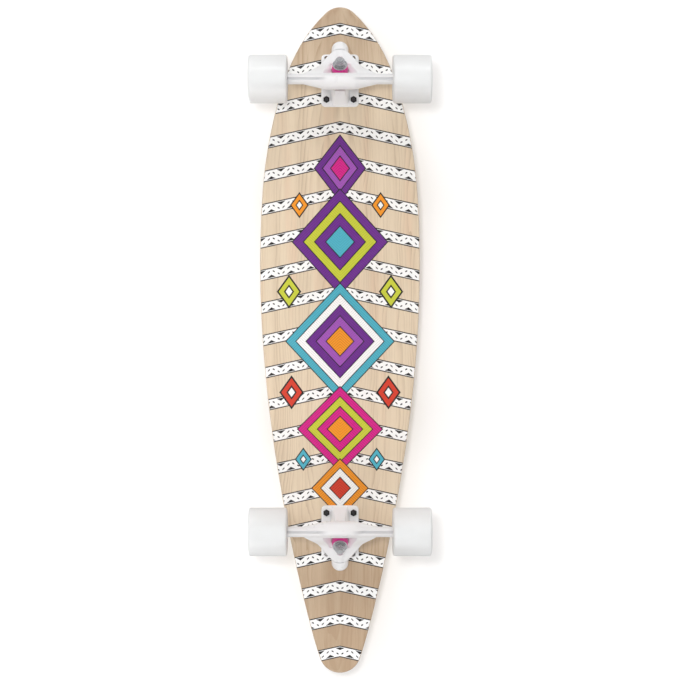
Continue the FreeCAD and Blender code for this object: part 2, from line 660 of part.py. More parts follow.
SPEED_RING_Y = HANGER_LENGTH / 2
INNER_BEARING_Y = SPEED_RING_Y + SPEED_RING_THICKNESS
SPACER_Y = INNER_BEARING_Y + BEARING_WIDTH
OUTER_BEARING_Y = SPACER_Y + SPACER_LENGTH
OUTER_SPEED_RING_Y = OUTER_BEARING_Y + BEARING_WIDTH
AXLE_NUT_Y = OUTER_SPEED_RING_Y + SPEED_RING_THICKNESS
AXLE_NUT_HEIGHT = AXLE_NUT_HEX_HEIGHT + AXLE_NUT_COLLAR_HEIGHT
AXLE_END_Y = AXLE_NUT_Y + AXLE_NUT_HEIGHT + AXLE_END_SHOW
WHEEL_CENTRE_Y = SPACER_Y + SPACER_LENGTH / 2
AXLE_BORE_DIAMETER = AXLE_DIAMETER + 2 * FIT


def on_side(shape, side):
    """Turns a piece made for the left end of the axle to either end."""
    turn = FreeCAD.Rotation(Z_AXIS, 0 if side > 0 else 180)
    return placed(shape, FreeCAD.Placement(AXLE_IN_TRUCK, turn))


def axle():
    rod = cylinder(AXLE_DIAMETER, 2 * AXLE_END_Y, Y_AXIS * -AXLE_END_Y, Y_AXIS)
    ends = [e for e in rod.Edges if e.BoundBox.YLength < AXLE_END_CHAMFER]
    rod = rod.makeChamfer(AXLE_END_CHAMFER, ends)
    rod.translate(AXLE_IN_TRUCK)
    return rod


def axle_tube(diameter, length, start):
    """Short tube on the axle, from a distance along it."""
    base = Y_AXIS * start
    return cylinder(diameter, length, base, Y_AXIS).cut(cylinder(AXLE_BORE_DIAMETER, length, base, Y_AXIS))


def axle_nut():
    nut = lock_nut(
        AXLE_NUT_FLATS, AXLE_NUT_HEX_HEIGHT, AXLE_NUT_COLLAR_DIAMETER, AXLE_NUT_COLLAR_HEIGHT, AXLE_BORE_DIAMETER
    )
    along = FreeCAD.Placement(Y_AXIS * AXLE_NUT_Y, FreeCAD.Rotation(X_AXIS, -90))
    return placed(nut, along)


def race(start):
    """Groove that the balls of one bearing run in."""
    centre = Y_AXIS * (start + BEARING_WIDTH / 2)
    return Part.makeTorus(BALL_PITCH_DIAMETER / 2, BALL_DIAMETER / 2 + RACE_CLEARANCE, centre, Y_AXIS)


def inner_ring(start):
    return axle_tube(INNER_RING_DIAMETER, BEARING_WIDTH, start).cut(race(start))


def outer_ring(start):
    base = Y_AXIS * start
    ring = cylinder(BEARING_DIAMETER, BEARING_WIDTH, base, Y_AXIS)
    bore = cylinder(BEARING_DIAMETER - 2 * OUTER_RING_WALL, BEARING_WIDTH, base, Y_AXIS)
    return ring.cut(bore).cut(race(start))


def shields(start):
    """Pair of thin plates that close one bearing and turn with its outer ring."""
    outer = BEARING_DIAMETER - 2 * OUTER_RING_WALL - 2 * FIT
    inner = INNER_RING_DIAMETER + 2 * SHIELD_GAP
    bases = (start + SHIELD_INSET, start + BEARING_WIDTH - SHIELD_INSET - SHIELD_THICKNESS)
    return [
        cylinder(outer, SHIELD_THICKNESS, Y_AXIS * base, Y_AXIS).cut(
            cylinder(inner, SHIELD_THICKNESS, Y_AXIS * base, Y_AXIS)
        )
        for base in bases
    ]


def ball_centres(start):
    radius = BALL_PITCH_DIAMETER / 2
    y = start + BEARING_WIDTH / 2
    angles = [2 * math.pi * ball / BALL_COUNT for ball in range(BALL_COUNT)]
    return [point(radius * math.cos(a), y, radius * math.sin(a)) for a in angles]


def balls_and_cage(start):
    """Balls of one bearing, and the ring with round pockets that spaces them."""
    balls = [Part.makeSphere(BALL_DIAMETER / 2, centre) for centre in ball_centres(start)]
    middle = Y_AXIS * (start + BEARING_WIDTH / 2)
    pockets = [
        cylinder(BALL_DIAMETER + 2 * RACE_CLEARANCE, BEARING_DIAMETER, middle, centre - middle)
        for centre in ball_centres(start)
    ]
    base = Y_AXIS * (start + BEARING_WIDTH / 2 - CAGE_WIDTH / 2)
    cage = cylinder(BALL_PITCH_DIAMETER + CAGE_WALL, CAGE_WIDTH, base, Y_AXIS)
    cage = cage.cut(cylinder(BALL_PITCH_DIAMETER - CAGE_WALL, CAGE_WIDTH, base, Y_AXIS))
    return balls + [cage.cut(pockets)]


def wheel_tyre():
    """Poured urethane wheel: square lips with a small radius and a flared mouth on each side of the core."""
    outer = WHEEL_DIAMETER / 2
    mouth = WHEEL_MOUTH_DIAMETER / 2
    bore = CORE_DIAMETER / 2
    inner_face = WHEEL_CENTRE_Y + WHEEL_OFFSET - WHEEL_WIDTH / 2
    outer_face = inner_face + WHEEL_WIDTH
    core_start = WHEEL_CENTRE_Y - CORE_WIDTH / 2
    core_end = core_start + CORE_WIDTH
    lip = WHEEL_LIP_RADIUS
    bulge = lip * (1 - math.sqrt(0.5))
    corners = [
        point(outer, inner_face + lip, 0), point(outer - lip, inner_face, 0), point(mouth, inner_face, 0),
        point(bore, core_start, 0), point(bore, core_end, 0), point(mouth, outer_face, 0),
        point(outer - lip, outer_face, 0), point(outer, outer_face - lip, 0),
    ]
    edges = [Part.LineSegment(a, b).toShape() for a, b in zip(corners[1:6], corners[2:7])]
    edges.insert(0, Part.Arc(corners[0], point(outer - bulge, inner_face + bulge, 0), corners[1]).toShape())
    edges.append(Part.Arc(corners[6], point(outer - bulge, outer_face - bulge, 0), corners[7]).toShape())
    edges.append(Part.LineSegment(corners[7], corners[0]).toShape())
    return revolved(edges, Y_AXIS)


def wheel_core():
    """Moulded hub with a bearing seat on each side of its web and a ring of lightening pockets."""
    start = WHEEL_CENTRE_Y - CORE_WIDTH / 2
    core = cylinder(CORE_DIAMETER - 2 * FIT, CORE_WIDTH, Y_AXIS * start, Y_AXIS)
    core = core.cut(cylinder(CORE_WEB_DIAMETER, CORE_WIDTH, Y_AXIS * start, Y_AXIS))
    seat_diameter = BEARING_DIAMETER + 2 * FIT
    for seat_start in (SPACER_Y - BEARING_WIDTH - OVERRUN, OUTER_BEARING_Y):
        core = core.cut(cylinder(seat_diameter, BEARING_WIDTH + OVERRUN, Y_AXIS * seat_start, Y_AXIS))
    pocket_radius = (CORE_DIAMETER + BEARING_DIAMETER) / 4
    for number in range(CORE_POCKET_COUNT):
        angle = 2 * math.pi * number / CORE_POCKET_COUNT
        for base in (start - OVERRUN, start + CORE_WIDTH - CORE_POCKET_DEPTH):
            centre = point(pocket_radius * math.cos(angle), base, pocket_radius * math.sin(angle))
            core = core.cut(cylinder(CORE_POCKET_DIAMETER, CORE_POCKET_DEPTH + OVERRUN, centre, Y_AXIS))
    return core


# Deck bolts, in the truck's own frame


def deck_bolt():
    """Countersunk bolt from the top of the deck down through the baseplate."""
    head_top = DECK_THICKNESS - BOLT_HEAD_SINK
    cone_depth = (BOLT_HEAD_DIAMETER - BOLT_DIAMETER) / 2
    nut_height = BOLT_NUT_HEX_HEIGHT + BOLT_NUT_COLLAR_HEIGHT
    tip = -PLATE_THICKNESS - nut_height - BOLT_END_SHOW
    shank = cylinder(BOLT_DIAMETER, head_top - tip, point(0, 0, tip))
    head = Part.makeCone(
        BOLT_DIAMETER / 2, BOLT_HEAD_DIAMETER / 2, cone_depth, point(0, 0, head_top - cone_depth), Z_AXIS
    )
    socket = hexagon(BOLT_SOCKET_FLATS, BOLT_SOCKET_DEPTH + OVERRUN, point(0, 0, head_top - BOLT_SOCKET_DEPTH))
    return shank.fuse(head).cut(socket).removeSplitter()


def deck_nut():
    nut = lock_nut(
        BOLT_NUT_FLATS, BOLT_NUT_HEX_HEIGHT, BOLT_NUT_COLLAR_DIAMETER, BOLT_NUT_COLLAR_HEIGHT,
        BOLT_DIAMETER + 2 * FIT,
    )
    return placed(nut, FreeCAD.Placement(point(0, 0, -PLATE_THICKNESS), FreeCAD.Rotation(X_AXIS, 180)))


def at_bolts(shape):
    return [placed(shape, FreeCAD.Placement(point(x, y, 0), FreeCAD.Rotation())) for x, y in bolt_places()]


def save_truck(end):
    """Writes every piece of one truck that isn't part of a turning wheel."""
    boardside = bushing(RING_HALF, BOARDSIDE_BUSHING_HEIGHT)
    roadside = bushing(ROADSIDE_WASHER_Z, ROADSIDE_BUSHING_HEIGHT)
    both_sides = SIDES.values()
    rings = [
        axle_tube(SPEED_RING_DIAMETER, SPEED_RING_THICKNESS, start) for start in (SPEED_RING_Y, OUTER_SPEED_RING_Y)
    ]
    inner_rings = [inner_ring(start) for start in (INNER_BEARING_Y, OUTER_BEARING_Y)]
    spacer = axle_tube(SPACER_DIAMETER, SPACER_LENGTH, SPACER_Y)
    nut = axle_nut()
    pieces = {
        "baseplate": [baseplate()],
        "pivot_cup": [in_truck(pivot_cup())],
        "kingpin": [in_truck(kingpin())],
        "kingpin_nut": [in_truck(kingpin_nut())],
        "boardside_washer": [in_truck(washer(BOARDSIDE_WASHER_DIAMETER, BOARDSIDE_WASHER_Z, 1))],
        "roadside_washer": [in_truck(washer(ROADSIDE_WASHER_DIAMETER, KINGPIN_NUT_Z, -1))],
        "boardside_bushing": [in_truck(boardside)],
        "roadside_bushing": [in_truck(roadside)],
        "hanger": [hanger()],
        "axle": [axle()],
        "deck_bolts": at_bolts(deck_bolt()),
        "deck_nuts": at_bolts(deck_nut()),
        "speed_rings": [on_side(ring, side) for side in both_sides for ring in rings],
        "bearing_spacers": [on_side(spacer, side) for side in both_sides],
        "bearing_inner_rings": [on_side(ring, side) for side in both_sides for ring in inner_rings],
        "axle_nuts": [on_side(nut, side) for side in both_sides],
    }
    for name, shapes in pieces.items():
        save(end + "_" + name, [placed(shape, TRUCK_FRAMES[end]) for shape in shapes])


def save_wheel(end, side_name):
    """Writes the pieces that turn on one end of an axle. The rear truck faces back, so its sides swap."""
    side = SIDES[side_name] if end == "front" else -SIDES[side_name]
    starts = (INNER_BEARING_Y, OUTER_BEARING_Y)
    pieces = {
        "tyre": [wheel_tyre()],
        "wheel_core": [wheel_core()],
        "bearing_outer_rings": [outer_ring(s) for s in starts] + [plate for s in starts for plate in shields(s)],
        "bearing_balls": [piece for s in starts for piece in balls_and_cage(s)],
    }
    for name, shapes in pieces.items():
        turned = [placed(on_side(shape, side), TRUCK_FRAMES[end]) for shape in shapes]
        save(end + "_" + side_name + "_" + name, turned)


os.makedirs("parts", exist_ok=True)
save_deck()
for truck_end in TRUCK_X:
    save_truck(truck_end)
    for wheel_side in SIDES:
        save_wheel(truck_end, wheel_side)
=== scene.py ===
"""Looks of a drop-shaped longboard: printed maple deck, white trucks, urethane wheels and a pale studio."""

import json
import math

import bmesh
import bpy
from mathutils import Matrix, Vector


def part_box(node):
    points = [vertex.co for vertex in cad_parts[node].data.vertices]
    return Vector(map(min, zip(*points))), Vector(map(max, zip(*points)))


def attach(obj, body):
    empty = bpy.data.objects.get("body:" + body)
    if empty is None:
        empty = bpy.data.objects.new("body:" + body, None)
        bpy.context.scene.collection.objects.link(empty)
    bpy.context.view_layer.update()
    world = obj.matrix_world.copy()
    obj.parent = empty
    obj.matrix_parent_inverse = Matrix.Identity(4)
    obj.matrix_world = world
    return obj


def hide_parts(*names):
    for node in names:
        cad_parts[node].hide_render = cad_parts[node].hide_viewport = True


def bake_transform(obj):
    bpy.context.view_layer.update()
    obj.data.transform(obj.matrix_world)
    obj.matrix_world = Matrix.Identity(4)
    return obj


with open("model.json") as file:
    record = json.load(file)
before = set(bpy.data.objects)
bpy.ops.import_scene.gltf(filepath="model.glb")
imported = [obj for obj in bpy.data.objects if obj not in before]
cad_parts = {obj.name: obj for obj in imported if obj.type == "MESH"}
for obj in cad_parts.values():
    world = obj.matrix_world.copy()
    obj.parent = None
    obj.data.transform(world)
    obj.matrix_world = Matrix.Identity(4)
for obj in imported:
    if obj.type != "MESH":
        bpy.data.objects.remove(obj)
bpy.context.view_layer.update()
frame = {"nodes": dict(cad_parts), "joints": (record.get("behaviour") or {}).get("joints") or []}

bl_info = {
    "name": "Longboard looks",
    "version": (1, 0, 0),
    "blender": (4, 5, 0),
    "location": "View3D > Sidebar > Longboard",
    "description": "Dresses the longboard's solids and lights them in a pale studio",
    "category": "Object",
}

ENDS = ("front", "rear")
SIDES = ("left", "right")
STEER_JOINTS = {joint["name"]: joint for joint in frame["joints"] if joint["name"].endswith("_steer")}


# Settings that a user would change


def colour_setting(label, default, note):
    return bpy.props.FloatVectorProperty(
        name=label, description=note, default=default, size=3, min=0.0, max=1.0, subtype="COLOR"
    )


def length_setting(label, default, note):
    return bpy.props.FloatProperty(
        name=label, description=note, default=default, min=0.0, unit="LENGTH", subtype="DISTANCE", precision=4
    )


def share_setting(label, default, note):
    return bpy.props.FloatProperty(
        name=label, description=note, default=default, min=0.0, max=1.0, subtype="FACTOR"
    )


class LongboardDeckLook(bpy.types.PropertyGroup):
    maple_light: colour_setting("Light maple", (0.77, 0.645, 0.480), "Wood between the growth rings")
    maple_dark: colour_setting("Dark maple", (0.44, 0.31, 0.20), "Wood at the growth rings and pores")
    maple_rose: colour_setting("Rose maple", (0.74, 0.535, 0.380), "Warmer streaks along the veneer")
    cross_ply: colour_setting("Cross ply", (0.40, 0.25, 0.13), "Edge of the plies that run across the deck")
    ring_spacing: length_setting("Ring spacing", 0.0052, "Width of one growth ring in the veneer")
    white_ink: colour_setting("White ink", (0.93, 0.93, 0.92), "Cross bands under the deck")
    black_ink: colour_setting("Black ink", (0.010, 0.009, 0.010), "Rims and ornament of the bands")
    purple_ink: colour_setting("Purple ink", (0.150, 0.022, 0.270), "Main colour of both prints")
    violet_ink: colour_setting("Violet ink", (0.340, 0.085, 0.460), "Lighter lines of both prints")
    teal_ink: colour_setting("Teal ink", (0.075, 0.440, 0.560), "Second colour of the lower print")
    magenta_ink: colour_setting("Magenta ink", (0.660, 0.010, 0.250), "Third colour of the lower print")
    orange_ink: colour_setting("Orange ink", (0.860, 0.300, 0.015), "Warm lozenges under the deck")
    red_ink: colour_setting("Red ink", (0.640, 0.045, 0.020), "Small lozenges under the deck")
    lime_ink: colour_setting("Lime ink", (0.560, 0.600, 0.045), "Bright rings of the lozenges")
    # Grit fleck is partly the grit's pale colour and partly a painted highlight on the grains' tops
    grit_fleck_and_highlight: colour_setting("Grit fleck", (0.92, 0.86, 0.76), "Grains of grit that catch the light")
    band_spacing: length_setting("Band spacing", 0.0500, "From one cross band to the next")
    band_height: length_setting("Band height", 0.0160, "Height of one cross band")
    band_slope: share_setting("Band slope", 0.22, "Fall of each band towards the rails")
    rim_width: length_setting("Rim width", 0.0016, "Width of the black rims and ornament")
    ornament_pitch: length_setting("Ornament pitch", 0.0150, "Half of one turn of a band's zigzag")
    weave_pitch: length_setting("Weave pitch", 0.0021, "Half spacing of the lozenges' fine lines")
    medallion_place: length_setting("Medallion place", 0.065, "Top print ahead of the deck's middle")
    medallion_length: length_setting("Medallion length", 0.150, "Top print along the deck")
    medallion_width: length_setting("Medallion width", 0.180, "Top print across the deck")
    medallion_ring: length_setting("Medallion ring", 0.0175, "Spacing of the top print's rings")


class LongboardTruckLook(bpy.types.PropertyGroup):
    casting_white: colour_setting("Casting", (0.86, 0.865, 0.875), "Powder coat of hangers and baseplates")
    # Casting hollows is painted shade: the castings' hollows and the bars' grooves darken towards this colour
    casting_painted_shade: colour_setting("Casting hollows", (0.54, 0.55, 0.575), "Coat in the castings' hollows")
    # Drilled metal is painted shade: the walls of the spare holes are painted near black
    spare_hole_painted_shade: colour_setting("Drilled metal", (0.035, 0.035, 0.038), "Walls of the spare bolt holes")
    casting_voxel: length_setting("Casting detail", 0.0007, "Smallest form kept in the eased castings")
    bushing_colour: colour_setting("Bushing", (0.78, 0.030, 0.300), "Poured urethane of the bushings")
    bushing_bulge: length_setting("Bushing bulge", 0.0009, "How far the barrel swells between its ends")
    bushing_bore: length_setting("Bushing bore", 0.0050, "Radius of the bore at the washer")
    bushing_flare: length_setting("Bushing flare", 0.0078, "Radius of the bore at the hanger")
    steel_colour: colour_setting("Steel", (0.66, 0.67, 0.69), "Kingpins, washers, nuts and axles")
    bearing_colour: colour_setting("Bearing steel", (0.74, 0.75, 0.77), "Bearing rings, shields and balls")
    bolt_colour: colour_setting("Deck bolt", (0.095, 0.009, 0.075), "Anodised heads of the deck bolts")
    nut_colour: colour_setting("Deck nut", (0.016, 0.016, 0.018), "Black lock nuts under the baseplates")
    cup_colour: colour_setting("Pivot cup", (0.030, 0.030, 0.033), "Urethane cup of the pivot")


class LongboardWheelLook(bpy.types.PropertyGroup):
    urethane_white: colour_setting("Urethane", (0.835, 0.84, 0.84), "Poured urethane of the wheels")
    speck_colour: colour_setting("Speck", (0.55, 0.54, 0.52), "Fine specks in the urethane")
    core_white: colour_setting("Core", (0.82, 0.82, 0.83), "Moulded core of the wheels")
    lip_radius: length_setting("Lip radius", 0.0040, "Round of the outer lips")
    mouth_radius: length_setting("Mouth radius", 0.0250, "Radius of the flared mouth at the faces")
    mouth_round: length_setting("Mouth round", 0.0014, "Round of the mouth's edge")
    mouth_step: length_setting("Mouth step", 0.0009, "Height of the moulded step in the mouth")


class LongboardStageLook(bpy.types.PropertyGroup):
    camera_distance: length_setting("Camera distance", 3.0, "From the camera to the deck's underside")
    frame_height: length_setting("Frame height", 1.0374, "Height of the picture at the deck")
    floor_size: length_setting("Floor size", 14.0, "Side of the square floor")
    floor_colour: colour_setting("Floor", (0.86, 0.86, 0.865), "Pale floor of the studio")
    backdrop_colour: colour_setting("Backdrop", (0.97, 0.97, 0.97), "White sheet behind the board")
    backdrop_gap: length_setting("Backdrop gap", 0.045, "From the deck's top to the pale sheet behind it")
    zenith_light: share_setting("Zenith light", 0.60, "Even light from straight above and below")
    horizon_light: share_setting("Horizon light", 0.44, "Even light from the sides")


# Materials


class Value:
    """An output socket of a finish. Arithmetic on it adds Math nodes."""

    def __init__(self, finish, socket):
        self.finish = finish
        self.socket = socket

    def math(self, operation, first, second=0.0):
        return self.finish.add("ShaderNodeMath", {"operation": operation}, {0: first, 1: second})

    def __add__(self, other):
        return self.math("ADD", self, other)

    def __radd__(self, other):
        return self.math("ADD", other, self)

    def __sub__(self, other):
        return self.math("SUBTRACT", self, other)

    def __rsub__(self, other):
        return self.math("SUBTRACT", other, self)

    def __mul__(self, other):
        return self.math("MULTIPLY", self, other)

    def __rmul__(self, other):
        return self.math("MULTIPLY", other, self)

    def __truediv__(self, other):
        return self.math("DIVIDE", self, other)

    def __rtruediv__(self, other):
        return self.math("DIVIDE", other, self)

    def __mod__(self, other):
        return self.math("FLOORED_MODULO", self, other)

    def __rmod__(self, other):
        return self.math("FLOORED_MODULO", other, self)

    def __pow__(self, other):
        return self.math("POWER", self, other)

    def __rpow__(self, other):
        return self.math("POWER", other, self)

    def __abs__(self):
        return self.math("ABSOLUTE", self)

    def __lt__(self, other):
        return self.math("LESS_THAN", self, other)

    def __gt__(self, other):
        return self.math("GREATER_THAN", self, other)

    def __or__(self, other):
        return self.math("MAXIMUM", self, other)

    def __ror__(self, other):
        return self.math("MAXIMUM", other, self)

    def __and__(self, other):
        return self.math("MINIMUM", self, other)

    def __rand__(self, other):
        return self.math("MINIMUM", other, self)


class Nodes:
    """Adds nodes to a node tree."""

    def __init__(self, tree):
        self.tree = tree

    def feed(self, socket, value):
        if isinstance(value, Value):
            self.tree.links.new(value.socket, socket)
        elif socket.type == "RGBA" and len(value) == 3:
            socket.default_value = (*value, 1.0)
        else:
            socket.default_value = value

    def add(self, kind, settings=None, inputs=None, output=0):
        """Adds a node: its settings, then the values or links of its sockets. Gives one of its outputs."""
        node = self.tree.nodes.new(kind)
        for name, value in (settings or {}).items():
            setattr(node, name, value)
        for key, value in (inputs or {}).items():
            self.feed(node.inputs[key], value)
        return Value(self, node.outputs[output])

    def place(self):
        """Place on the object, in metres."""
        return self.add("ShaderNodeTexCoord", output="Object")

    def split(self, vector):
        """The three parts of a vector."""
        node = self.add("ShaderNodeSeparateXYZ", inputs={0: vector}).socket.node
        return [Value(self, socket) for socket in node.outputs]

    def stretch(self, vector, scale):
        """A vector times a scale for each axis."""
        return self.add("ShaderNodeVectorMath", {"operation": "MULTIPLY"}, {0: vector, 1: scale})

    def along(self, vector, direction):
        """Distance of a place along a direction."""
        inputs = {0: vector, 1: direction}
        return self.add("ShaderNodeVectorMath", {"operation": "DOT_PRODUCT"}, inputs, "Value")

    def noise(self, vector, scale, detail=2.0, roughness=0.5):
        inputs = {"Vector": vector, "Scale": scale, "Detail": detail, "Roughness": roughness}
        return self.add("ShaderNodeTexNoise", {"noise_dimensions": "3D"}, inputs)

    def grain(self, vector, waves, detail, roughness=0.5):
        """Noise with its own number of waves per metre along each axis."""
        return self.noise(self.stretch(vector, waves), 1.0, detail, roughness)

    def mix(self, factor, first, second):
        """Colour between two colours."""
        return self.add("ShaderNodeMix", {"data_type": "RGBA"}, {0: factor, 6: first, 7: second}, 2)

    def ease(self, value, low, high):
        """Smooth rise from 0 to 1 between two values."""
        inputs = {"Value": value, "From Min": low, "From Max": high}
        return self.add("ShaderNodeMapRange", {"interpolation_type": "SMOOTHSTEP"}, inputs)

    def relief(self, height, depth):
        """Normal of a surface with a height from 0 to 1 times a depth in metres."""
        return self.add("ShaderNodeBump", inputs={"Strength": 1.0, "Distance": depth, "Height": height})

    def bend(self):
        """How far the surface bends out, which is a half where it is flat."""
        return self.add("ShaderNodeNewGeometry", output="Pointiness")

    def facing(self):
        """Parts of the surface's direction."""
        return self.split(self.add("ShaderNodeNewGeometry", output="Normal"))


class Finish(Nodes):
    """One material. Sockets that are the same all over are set at once, and the rest are linked."""

    def __init__(self, name, constants):
        self.material = bpy.data.materials.new(name)
        self.material.use_nodes = True
        super().__init__(self.material.node_tree)
        self.surface = self.tree.nodes["Principled BSDF"]
        self.set(constants)

    def set(self, sockets):
        for name, value in sockets.items():
            self.feed(self.surface.inputs[name], value)


def root(value):
    return value.math("SQRT", value)


def zigzag(value, pitch):
    """Triangle wave from -1 to 1 that turns at every pitch."""
    return value.math("PINGPONG", value, pitch) * (2.0 / pitch) - 1.0


# Figure of the maple, in waves per metre along, across and through a veneer
DRIFT_WAVES = (2.6, 11.0, 0.0)
WAVER_WAVES = (7.0, 55.0, 0.0)
SEASON_WAVES = (1.2, 70.0, 0.0)
FIBRE_WAVES = (16.0, 950.0, 0.0)
PORE_WAVES = (60.0, 1700.0, 0.0)
STREAK_WAVES = (0.9, 34.0, 0.0)
ROSE_WAVES = (1.69, 27.3, 0.0)
# How far the growth rings stray sideways and in depth, and how far from the tree's heart the veneer was cut
DRIFT_ASIDE = 0.075
WAVER_ASIDE = 0.010
DRIFT_IN_DEPTH = 0.040
HEART_DEPTH = 0.012
HEART_SHIFT_SHARE = 4.0
LATE_WOOD_POWER = 3.4
# Stretches over which the wood darkens towards the tail and the nose, from the deck's middle
TAIL_SHADE = (0.21, 0.37)
NOSE_SHADE = (0.33, 0.48)
TAIL_SHADE_SHARE = 1.15


def maple(finish, look, shift, figure, end_darkening, arch, ring_spacing):
    """Plain-sawn maple: arched growth rings, streaks, fibres and pores. Gives colour and height.

    Shift moves the arches sideways, figure is the strength of the grain, and the darkening sets how much
    darker the wood grows towards the nose and tail.
    """
    place = finish.place()
    x, y = finish.split(place)[:2]
    drift = finish.grain(place, DRIFT_WAVES, 3.0) - 0.5
    waver = finish.grain(place, WAVER_WAVES, 3.0) - 0.5
    side = y + drift * DRIFT_ASIDE + waver * WAVER_ASIDE + shift
    depth = (x - shift * HEART_SHIFT_SHARE) * arch + drift * DRIFT_IN_DEPTH + HEART_DEPTH
    ring = root(side * side + depth * depth) / ring_spacing
    season = finish.grain(place, SEASON_WAVES, 2.0)
    late = (ring % 1.0) ** LATE_WOOD_POWER * finish.ease(season, 0.34, 0.66)
    fibre = finish.grain(place, FIBRE_WAVES, 2.0)
    pores = finish.ease(finish.grain(place, PORE_WAVES, 1.0), 0.60, 0.72)
    streak = finish.grain(place, STREAK_WAVES, 3.0, 0.6)
    rose = finish.grain(place, ROSE_WAVES, 2.0)
    ends = finish.ease(x * -1.0, *TAIL_SHADE) * TAIL_SHADE_SHARE | finish.ease(x, *NOSE_SHADE)
    grain = late * 0.48 + (fibre - 0.5) * 0.30 + (streak - 0.46) * 0.85
    dark = grain * figure + pores * 0.14 + ends * end_darkening + 0.06
    colour = finish.mix(finish.ease(rose, 0.48, 0.66) * 0.55, look.maple_light, look.maple_rose)
    return finish.mix((dark | 0.0) & 1.0, colour, look.maple_dark), fibre * 0.6 - pores * 0.6


def lozenge(x, y, centre, half_length, half_width):
    """Distance from a lozenge's middle, which is 1 on its outline."""
    return abs(x - centre) / half_length + abs(y) / half_width


def ink(look, name):
    return getattr(look, name + "_ink")


# A surface of a veneer counts as its face where its direction is nearly straight up or down
FACE_DIRECTION = 0.75
# Ornament of a band: heights of its zigzag, teeth, beads and free rim as shares of half the band
WAVE_SHARE = 0.62
TOOTH_SHARE = 0.86
BEAD_SHARE = 0.13
FREE_RIM_SHARE = 0.80
BEADS_PER_PITCH = 4
BEAD_LEVEL = 0.2
# Column of nested lozenges: middle, half length and half width in metres, and inks from the rim inwards
LOZENGE_COLUMN = (
    (0.262, 0.052, 0.040, ("purple", "violet", "magenta")),
    (0.150, 0.082, 0.074, ("purple", "lime", "purple", "teal")),
    (-0.002, 0.090, 0.084, ("teal", "white", "purple", "violet", "orange")),
    (-0.136, 0.066, 0.066, ("magenta", "lime", "magenta", "orange")),
    (-0.226, 0.046, 0.044, ("orange", "white", "red")),
)
# How much of a lozenge its nested rings take up, and its outlines' width as a share of the bands' rims
NESTING_SHARE = 0.92
OUTLINE_SHARE = 1.2
# Fine lines in the lozenges: their slope, the height of the wave at which a line starts and their strength
WEAVE_SLOPE = 0.92
WEAVE_LEVELS = (0.62, 0.78)
WEAVE_STRENGTH = 0.42
# Pairs of small lozenges: middle along the deck, offset to each side and half length in metres, and ink
SIDE_LOZENGES = (
    (0.074, 0.078, 0.026, "lime"),
    (-0.080, 0.074, 0.026, "red"),
    (0.206, 0.062, 0.020, "orange"),
    (-0.182, 0.056, 0.018, "teal"),
)
# Half width of a small lozenge, as a share of its half length
SIDE_WIDTH_SHARE = 0.72


def band_print(look, x, y):
    """Chevron bands across the deck: where they are white, and where their rims and ornament are black."""
    half = look.band_height / 2
    run = (x + abs(y) * look.band_slope) % look.band_spacing - look.band_spacing / 2
    wave = zigzag(abs(y), look.ornament_pitch) * WAVE_SHARE
    height = run / half
    teeth = (height < wave - TOOTH_SHARE) | (height > wave + TOOTH_SHARE)
    beads = abs(height - wave) < BEAD_SHARE
    beads = beads & (zigzag(abs(y), look.ornament_pitch / BEADS_PER_PITCH) > BEAD_LEVEL)
    rims = abs(abs(run) - half) < look.rim_width / 2
    return abs(run) < half, rims | ((abs(height) < FREE_RIM_SHARE) & (teeth | beads))


def printed_maple(look):
    """Bottom veneer: satin maple with white chevron bands and a column of nested lozenges."""
    finish = Finish("printed_maple", {"Coat Roughness": 0.32, "Specular IOR Level": 0.45})
    colour, fibres = maple(
        finish, look, shift=0.012, figure=1.1, end_darkening=0.68, arch=0.085, ring_spacing=look.ring_spacing
    )
    x, y = finish.split(finish.place())[:2]
    under = finish.facing()[2] < -FACE_DIRECTION
    band, black = band_print(look, x, y)
    colour = finish.mix(band & under, colour, look.white_ink)
    colour = finish.mix(black & under, colour, look.black_ink)
    inked = band | black
    slant = abs(y) * WEAVE_SLOPE
    weave = (
        zigzag(x + slant, look.weave_pitch) > WEAVE_LEVELS[0],
        zigzag(x - slant, look.weave_pitch) > WEAVE_LEVELS[1],
    )
    for centre, half_length, half_width, names in LOZENGE_COLUMN:
        reach = lozenge(x, y, centre, half_length, half_width)
        outline = look.rim_width / half_width * OUTLINE_SHARE
        inked = inked | (reach < 1.0)
        for number, name in enumerate(names):
            edge = 1.0 - number / len(names) * NESTING_SHARE
            fill = finish.mix(weave[number % 2] * WEAVE_STRENGTH, ink(look, name), look.black_ink)
            colour = finish.mix((reach < edge) & under, colour, look.black_ink)
            colour = finish.mix((reach < edge - outline) & under, colour, fill)
    for centre, offset, size, name in SIDE_LOZENGES:
        reach = lozenge(x, abs(y) - offset, centre, size, size * SIDE_WIDTH_SHARE)
        inked = inked | (reach < 1.0)
        for share, ring in ((1.0, "black"), (0.84, name), (0.42, "black"), (0.28, "white")):
            colour = finish.mix((reach < share) & under, colour, ink(look, ring))
    cloud = finish.noise(finish.place(), 14.0, 3.0)
    inked = inked & under
    finish.set({
        "Base Color": colour,
        "Roughness": 0.40 + (cloud - 0.5) * 0.14 - inked * 0.07,
        "Coat Weight": 0.12 + inked * 0.10,
        "Normal": finish.relief(fibres * (1.0 - inked * 0.7), depth=0.00005),
    })
    return finish.material


# Borders of the top print from its rim inwards, as shares of its reach, with their inks
MEDALLION_BORDERS = ((1.0, "black"), (0.975, "violet"), (0.925, "black"), (0.905, "purple"))
# Half widths of the interlocked rings and of their dark edges, as shares of their spacing
RING_LINE_SHARE = 0.060
RING_EDGE_SHARE = 0.105
# Growth rings of the top veneer, as a share of those below
TOP_RING_SHARE = 1.6


def interlocked_rings(along, across, spacing):
    """Distance to the nearest of the rings that stand on a square grid and cross in each square's middle."""
    low = along % spacing
    left = across % spacing
    radius = spacing * math.sqrt(0.5)
    nearest = None
    for far_along in (0.0, spacing):
        for far_across in (0.0, spacing):
            step = low - far_along
            shift = left - far_across
            gap = abs(root(step * step + shift * shift) - radius)
            nearest = gap if nearest is None else nearest & gap
    return nearest


